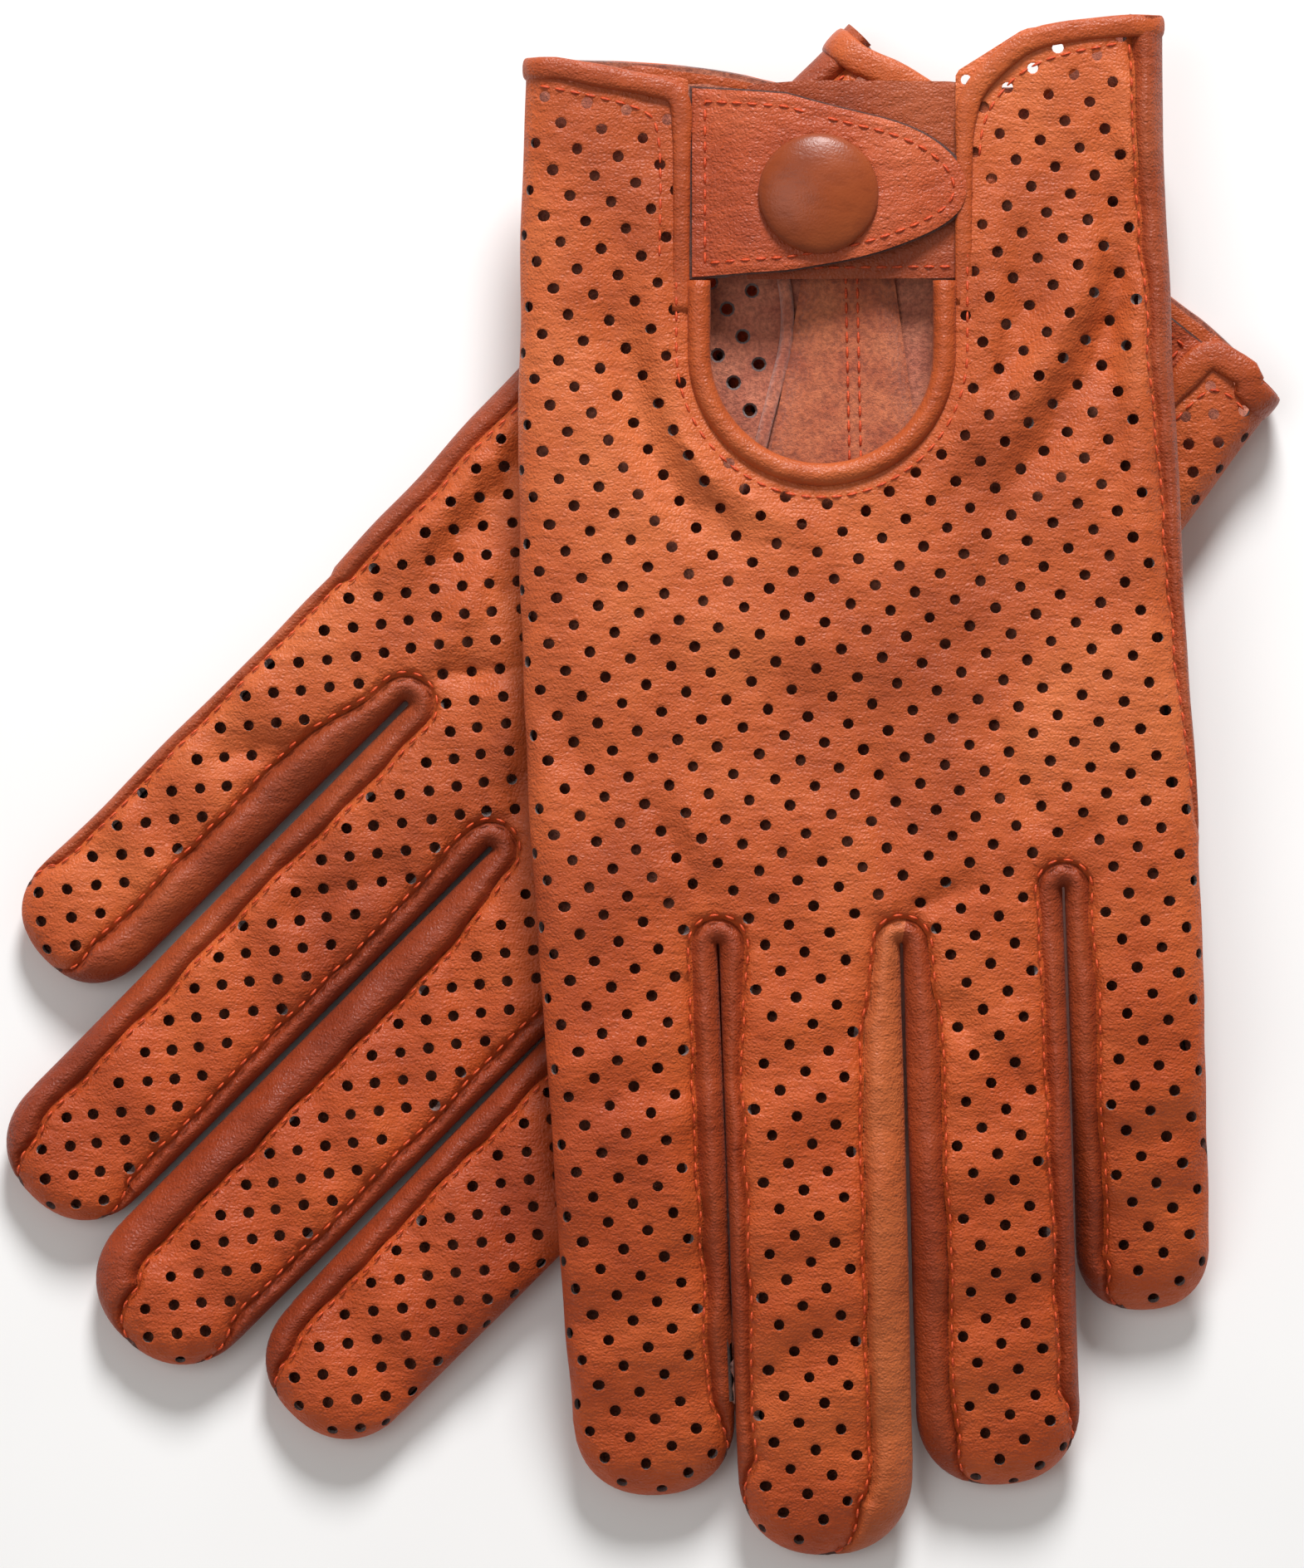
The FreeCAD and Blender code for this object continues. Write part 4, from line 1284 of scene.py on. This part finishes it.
def cuff_hem(glove, looks):
    """The rolled hem: down both edges of the keyhole's mouth and right round the cuff."""
    data = glove.data
    hem_w, corner = data["hem"]
    drop = hem_w / 2
    (_, left_y), (mouth_x, mouth_y), (rise_x, rise_y) = data["flaps"]
    index_y = data["index_side"][-1][1] - drop - corner
    little_y = data["little_side"][-1][1] - drop - corner
    slot = data["slot_x"]
    top = HAND_DEPTH + 0.1
    right_edge = slot + SLOT_HALF + 1.2
    left_edge = slot - SLOT_HALF - 0.9
    around_index, ups_index = rim_path(glove, "index_side", index_y)
    around_little, ups_little = rim_path(glove, "little_side", little_y)
    between = (left_edge + float(glove.side_x("index_side", index_y))) / 2 - 1
    left = [(left_edge - 0.2, 90.0, top - 0.3), (left_edge, left_y - 9, top),
            (left_edge, left_y - 2.5, top), (left_edge - 3.5, left_y - drop + 0.4, top),
            (between, (left_y + index_y + corner) / 2 - 0.6, top)]
    right = [(rise_x + 8, (rise_y + little_y) / 2 - 0.4, top), (rise_x, rise_y - drop, top),
             (mouth_x + 3.5, mouth_y - drop + 0.6, top), (right_edge + 0.4, mouth_y - 5, top),
             (right_edge, mouth_y - 12, top - 0.1), (right_edge, 91.0, top - 0.4)]
    _, half = glove.heights(np.array([[slot, index_y]]))
    low = HAND_DEPTH - 2 * half[0] + 0.35
    palm = [(x, y - drop, low) for x, y in data["palm_cuff"][::-1]]
    back_up, palm_up = (0, 0, 1), (0, 0, -1)
    path = left + around_index + palm + around_little[::-1] + right
    ups = ([back_up] * len(left) + ups_index + [palm_up] * len(palm) + ups_little[::-1]
           + [back_up] * len(right))
    both = resample(rounded(np.column_stack([path, ups]), 2), HEM_STEP)
    spots = both[:, :3]
    wobble = soft_noise(np.column_stack([spots[:, 0], spots[:, 1] + 3 * spots[:, 2]]), 5, 8)
    share = np.where(spots[:, 2] > 4, 1.0, 0.8)             # thinner under the palm
    from_end = np.minimum(np.arange(len(spots)), np.arange(len(spots))[::-1]) * HEM_STEP
    ease = 0.35 + 0.65 * smooth(from_end / 14)              # the ends run out into the leather
    band = 0.78 + 0.22 * smooth((from_end - 22) / 8)        # narrower beside the keyhole
    points, faces = sweep(spots, both[:, 3:], hem_w / 2 * (1 + 0.07 * wobble) * band,
                          HEM_RISE * (1 + 0.2 * wobble) * share * ease, sides=14, power=2.4)
    add_piece(glove, "cuff_hem", points, faces, "hand", [looks["bound"]],
              replaces=["cuff_binding"])
    inner = hem_w + 0.75
    rows = [[(left_edge - 3.4, 97), (left_edge - 3.0, left_y - 7.5), (left_edge - 6, left_y - inner),
             (float(glove.side_x("index_side", index_y)) + 1, index_y - inner + drop)],
            [(right_edge + 2.2, mouth_y - 14), (right_edge + 3.0, mouth_y - inner - 2.2),
             (rise_x + 1, rise_y - inner - 0.6),
             (float(glove.side_x("little_side", little_y)) - 5, little_y - inner + drop)]]
    parts = []
    for row in rows:
        parts += stitch_row(glove, rounded(row, 2), pitch=HEM_STITCH, radius=HEM_THREAD_R)
    add_thread(glove, "hem_stitches", parts, "hand", looks)


# ---------------------------------------------------------------- strap, tab and snap

def strap_outline(glove):
    root = glove.data["slot_x"] - SLOT_HALF + STRAP_IN
    tip = glove.data["snap_x"] + STRAP_NOSE
    points = [(root, STRAP_HIGH_Y), (root + 14, STRAP_HIGH_Y - 1.0), (tip - 20.8, STRAP_HIGH_Y - 2.8),
              (tip - 8.8, 117.6), (tip - 2.2, 113.2), (tip, 108.2), (tip - 2.4, 103.2),
              (tip - 14.4, 98.2), (tip - 27.0, STRAP_LOW_Y + 1.0), (root, STRAP_LOW_Y)]
    nose = rounded(points[1:-1], 3)
    return np.concatenate([[points[0]], nose, [points[-1]]]), root, tip


def strap_height(x, root, tip):
    """The strap's top: up over the snap, and down to the back at its tip."""
    rest = HAND_DEPTH + 0.35 + STRAP_T
    rise = HAND_DEPTH + STRAP_RISE + STRAP_T
    low = HAND_DEPTH - LEATHER + STRAP_T + 0.2
    height = low + (rise - low) * smooth((x - root - 0.6) / 9.0)
    return height - (rise - rest) * smooth((x - tip + 11.5) / 8.0)


def strap(glove, looks):
    outline, root, tip = strap_outline(glove)
    line = resample(loop_of(outline), 1.0)[:-1]
    if np.cross(line[1] - line[0], line[20] - line[0]) < 0:
        line = line[::-1]
    points, triangles, _ = panel_mesh(line, np.zeros((0, 2)), 1.1)
    gap = nearest_on(points, loop_of(line))[0]
    height = strap_height(points[:, 0], root, tip)
    height -= 0.34 * np.exp(-(gap / 0.7) ** 2) + 0.3 * np.exp(-((gap - 1.9) / 0.6) ** 2)
    wrinkle = np.sin(points[:, 1] * 2.6 + 2.2 * soft_noise(points, 5, 3))
    height += 0.07 * wrinkle * (1 - smooth((points[:, 0] - root - 3) / 11))
    height += 0.12 * soft_noise(points, 7, 9)
    outer = np.column_stack([points, height])
    add_leather(glove, "strap_leather", outer, triangles, STRAP_T * 0.6, "strap",
                "strap", looks, ["strap"], finger="strap")
    # The lining is dark on top and flares out past the strap's edge: a dark rim that is partly its raw
    # cut edge and partly painted shadow under the strap.
    lining = outer - (0, 0, STRAP_T * 0.6)
    edge_and_shadow_flare = (points - line.mean(0)) * 0.022
    lining[:, :2] += edge_and_shadow_flare
    add_leather(glove, "strap_lining", lining, triangles, STRAP_T * 0.55, "strap",
                "cut_edge", looks, finger="strap")
    inset = resample(loop_of(outline), 0.7)
    normals = outward(inset)
    middle = line.mean(0)
    toward = np.sign(((middle - inset) * normals).sum(1))[:, None]
    row = inset + normals * toward * 1.9
    row = row[(nearest_on(row, inset)[0] > 1.8) & (row[:, 0] > root + 1.2)]
    widest = int(np.argmax(np.linalg.norm(np.diff(row, axis=0), axis=1)))
    row = np.roll(row, -widest - 1, axis=0)
    height = strap_height(row[:, 0], root, tip) - 0.16
    rows = flat_stitches(row, height, pitch=STRAP_STITCH, length=1.6)
    add_thread(glove, "strap_stitches", rows, "strap", looks, finger="strap")


def snap_cap(glove, looks):
    """A leather-covered button: a low dome drawn down over a rounded rim."""
    x = glove.data["snap_x"]
    base = HAND_DEPTH + STRAP_RISE + STRAP_T
    profile = [(CAP_R - 0.9, -0.35), (CAP_R - 0.25, 0.0), (CAP_R, 0.42), (CAP_R - 0.12, 0.85),
               (CAP_R - 0.55, 1.3), (CAP_R - 1.25, 1.68), (CAP_R - 2.4, 2.12), (CAP_R - 4.0, 2.56),
               (CAP_R - 5.8, 2.86), (CAP_R - 7.6, 3.04), (0.35, CAP_H)]
    profile = rounded(profile, 1)
    around = 72
    points, faces = [], []
    for radius, height in profile:
        for i in range(around):
            angle = 2 * math.pi * i / around
            pleat = 0.05 * math.sin(angle * 23) * max(0.0, 1 - height / 1.2)
            wide = radius + pleat
            points.append((x + wide * math.cos(angle), SNAP_Y + wide * math.sin(angle), base + height))
    for ring in range(len(profile) - 1):
        for i in range(around):
            j = (i + 1) % around
            a, b = ring * around, (ring + 1) * around
            faces.append((a + i, a + j, b + j, b + i))
    faces.append(tuple((len(profile) - 1) * around + i for i in range(around)))
    faces.append(tuple(range(around))[::-1])
    add_piece(glove, "button_cap", points, faces, "strap", [looks["cap"]],
              replaces=["snap_cap"])


def tab(glove, looks):
    """The band under the strap that carries the stud, with its stitched lower edge."""
    left = glove.data["snap_x"] - TAB_LEFT
    right = glove.data["slot_x"] + SLOT_HALF + TAB_RIGHT
    mouth = glove.data["slot_x"] + SLOT_HALF
    outline = [(left, TAB_LOW_Y), (right - 8, TAB_LOW_Y + 0.2), (right, TAB_LOW_Y + 0.5),
               (right, TAB_HIGH_Y - 3), (mouth, TAB_HIGH_Y), (left + 9, TAB_HIGH_Y + 0.2),
               (left, TAB_HIGH_Y - 0.5)]
    line = resample(np.array(outline + outline[:1]), 1.3)[:-1]
    points, triangles, _ = panel_mesh(line, np.zeros((0, 2)), 1.6)
    top = HAND_DEPTH - LEATHER - 0.05
    gap = nearest_on(points, loop_of(line))[0]
    height = top - 0.15 * np.exp(-(gap / 0.6) ** 2) + 0.08 * soft_noise(points, 6, 4)
    outer = np.column_stack([points, height])
    add_leather(glove, "tab_leather", outer, triangles, LEATHER, "hand",
                "plain", looks, ["tab"])
    row = np.array([(left + 1.5, TAB_LOW_Y + 1.7), (mouth - 0.5, TAB_LOW_Y + 1.9)])
    rows = flat_stitches(resample(row, 0.8), top, pitch=STRAP_STITCH)
    add_thread(glove, "tab_stitches", rows, "hand", looks)


def palm_inset(glove, looks):
    """Seen through the keyhole: the flesh side of the palm's gusset, its seams and stitches."""
    x = glove.data["slot_x"]
    floor = LEATHER + 0.05
    outline = [(x + 1.8, 121.0), (x + 7.2, 121.0), (x + 15.8, 60.0), (x - 9.2, 60.0)]
    line = resample(np.array(outline + outline[:1]), 1.5)[:-1][::-1]
    points, triangles, _ = panel_mesh(line, np.zeros((0, 2)), 1.8)
    gap = nearest_on(points, loop_of(line))[0]
    middle, half = glove.heights(points)
    height = middle - half + floor + 0.8 + 1.1 * smooth(gap / 3) + 0.15 * soft_noise(points, 6, 6)
    outer = np.column_stack([points, height])
    add_leather(glove, "palm_gusset", outer, triangles, 0.6, "hand", "gusset", looks)
    parts = []
    for shift in (3.1, 4.8):
        row = resample(np.array([(x + shift, 119.0), (x + shift + 1.2, 62.0)]), 0.8)
        middle, half = glove.heights(row)
        parts += flat_stitches(row, middle - half + floor + 2.0, pitch=2.2)
    add_thread(glove, "gusset_stitches", parts, "hand", looks)
    bends = [(x - 8.5, 121), (x - 6.5, 100), (x - 4.4, 88), (x - 7.6, 76), (x - 11.5, 60)]
    ridge = resample(rounded(bends, 3), 1.2)
    middle, half = glove.heights(ridge)
    path = np.column_stack([ridge, middle - half + floor + 0.6])
    points, faces = sweep(path, upward(len(path)), 1.0, 0.9, sides=10)
    add_piece(glove, "palm_ridge_seam", points, faces, "hand", [looks["suede"]])


# ---------------------------------------------------------------- thumb

def thumb(glove, looks):
    """The thumb, folded flat under the palm: two panels meeting at a stitched side seam."""
    pivot, toward = np.array(glove.data["thumb_pivot"]), np.array(glove.data["thumb_toward"])
    ahead = (toward - pivot) / np.linalg.norm(toward - pivot)
    across = np.array([-ahead[1], ahead[0]])
    flat = []
    for angle in np.linspace(0, math.pi, 25):
        flat.append((THUMB_TIP_R * math.cos(angle), THUMB_REACH + THUMB_TIP_R * math.sin(angle)))
    for angle in np.linspace(math.pi, 2 * math.pi, 25):
        flat.append((THUMB_BASE_R * math.cos(angle), THUMB_BASE_R * math.sin(angle)))
    line = resample(np.array(flat + flat[:1]), 1.6)[:-1]
    closed = loop_of(line)
    points, triangles, _ = panel_mesh(line, np.zeros((0, 2)), 1.8)
    gap = nearest_on(points, closed)[0]
    half = THUMB_DEPTH / 2
    middle = -THUMB_GAP - half
    share = np.sqrt(np.clip(1 - (1 - np.clip(gap / 3.2, 0, 1)) ** 2, 0, 1))
    wave = 0.12 * soft_noise(points, 8, 12)
    place = pivot + points[:, :1] * across + points[:, 1:] * ahead
    for face, name, look, slot in ((1, "thumb_back", "plain", "plain_leather"),
                                   (-1, "thumb_palm", "palm", "palm_leather")):
        lift = half * share - 0.12 - 0.15 * (1 - share) + np.minimum(wave, 0) * share
        outer = np.column_stack([place, middle + face * np.maximum(lift, 0.02)])
        order = triangles if np.cross(across, ahead) * face > 0 else triangles[:, ::-1]
        add_leather(glove, name + "_leather", outer, order, LEATHER * 0.8, "thumb", look,
                    looks, [name])
    seam = closed[:-1] * 0.985 + np.mean(line, axis=0) * 0.015
    spots = pivot + seam[:, :1] * across + seam[:, 1:] * ahead
    path = np.column_stack([spots, np.full(len(spots), middle - 0.75)])
    away = spots - spots.mean(0)
    ups = np.column_stack([away / np.linalg.norm(away, axis=1)[:, None], np.full(len(spots), -1.0)])
    add_thread(glove, "thumb_stitches", stitches(path, ups / 1.4, radius=0.17), "thumb", looks)


# ---------------------------------------------------------------- stage

def stage():
    mesh = bpy.data.meshes.new("floor")
    half = 3.0
    mesh.from_pydata([(-half, -half, 0), (half, -half, 0), (half, half, 0), (-half, half, 0)],
                     [], [(0, 1, 2, 3)])
    floor = bpy.data.objects.new("floor", mesh)
    bpy.context.scene.collection.objects.link(floor)
    nodes = Nodes("floor_paper")
    tone = nodes.noise(60, 2, 0.5)
    nodes.link(nodes.ramp(tone, [(0.3, (0.9, 0.9, 0.9, 1)), (0.7, (0.93, 0.93, 0.93, 1))]),
               nodes.shader.inputs["Base Color"])
    nodes.shader.inputs["Roughness"].default_value = 0.9
    mesh.materials.append(nodes.material)


def area_light(name, at, size, power):
    light = bpy.data.lights.new(name, "AREA")
    light.shape = "DISK"
    light.size = size
    light.energy = power
    lamp = bpy.data.objects.new(name, light)
    lamp.location = at
    lamp.rotation_euler = (-Vector(at)).to_track_quat("-Z", "Y").to_euler()
    bpy.context.scene.collection.objects.link(lamp)


def lights():
    world = bpy.data.worlds.new("studio")
    world.use_nodes = True
    world.node_tree.nodes["Background"].inputs["Color"].default_value = (1.0, 0.95, 0.9, 1)
    world.node_tree.nodes["Background"].inputs["Strength"].default_value = 0.29
    bpy.context.scene.world = world
    area_light("window", (0.12, 1.25, 0.8), 0.45, 28)
    area_light("fill", (-0.6, 0.1, 1.5), 1.0, 5)


def camera():
    """Straight down on the pair, framed as the picture frames it."""
    lens, sensor = 300.0, 36.0
    tall, object_height = 0.2331, 0.021
    data = bpy.data.cameras.new("camera")
    data.lens = lens
    data.sensor_width = sensor
    data.clip_end = 10.0
    view = bpy.data.objects.new("camera", data)
    view.location = (0.00068, 0.00012, tall * lens / sensor + object_height)
    bpy.context.scene.collection.objects.link(view)
    bpy.context.scene.camera = view


def main():
    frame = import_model()
    bpy.context.scene.view_settings.view_transform = "Standard"
    looks = make_materials()
    for side in GLOVES:
        glove = Glove(side)
        panel(glove, looks, 1)
        panel(glove, looks, -1)
        fourchettes(glove, looks)
        side_strip(glove, looks)
        seam_threads(glove, looks)
        keyhole(glove, looks)
        cuff_hem(glove, looks)
        strap(glove, looks)
        snap_cap(glove, looks)
        tab(glove, looks)
        palm_inset(glove, looks)
        thumb(glove, looks)
        for name in ("snap_stud", "snap_socket"):
            node = frame["nodes"][side + "_" + name]
            node.data.materials.clear()
            node.data.materials.append(looks["metal"])
    stage()
    lights()
    camera()


main()
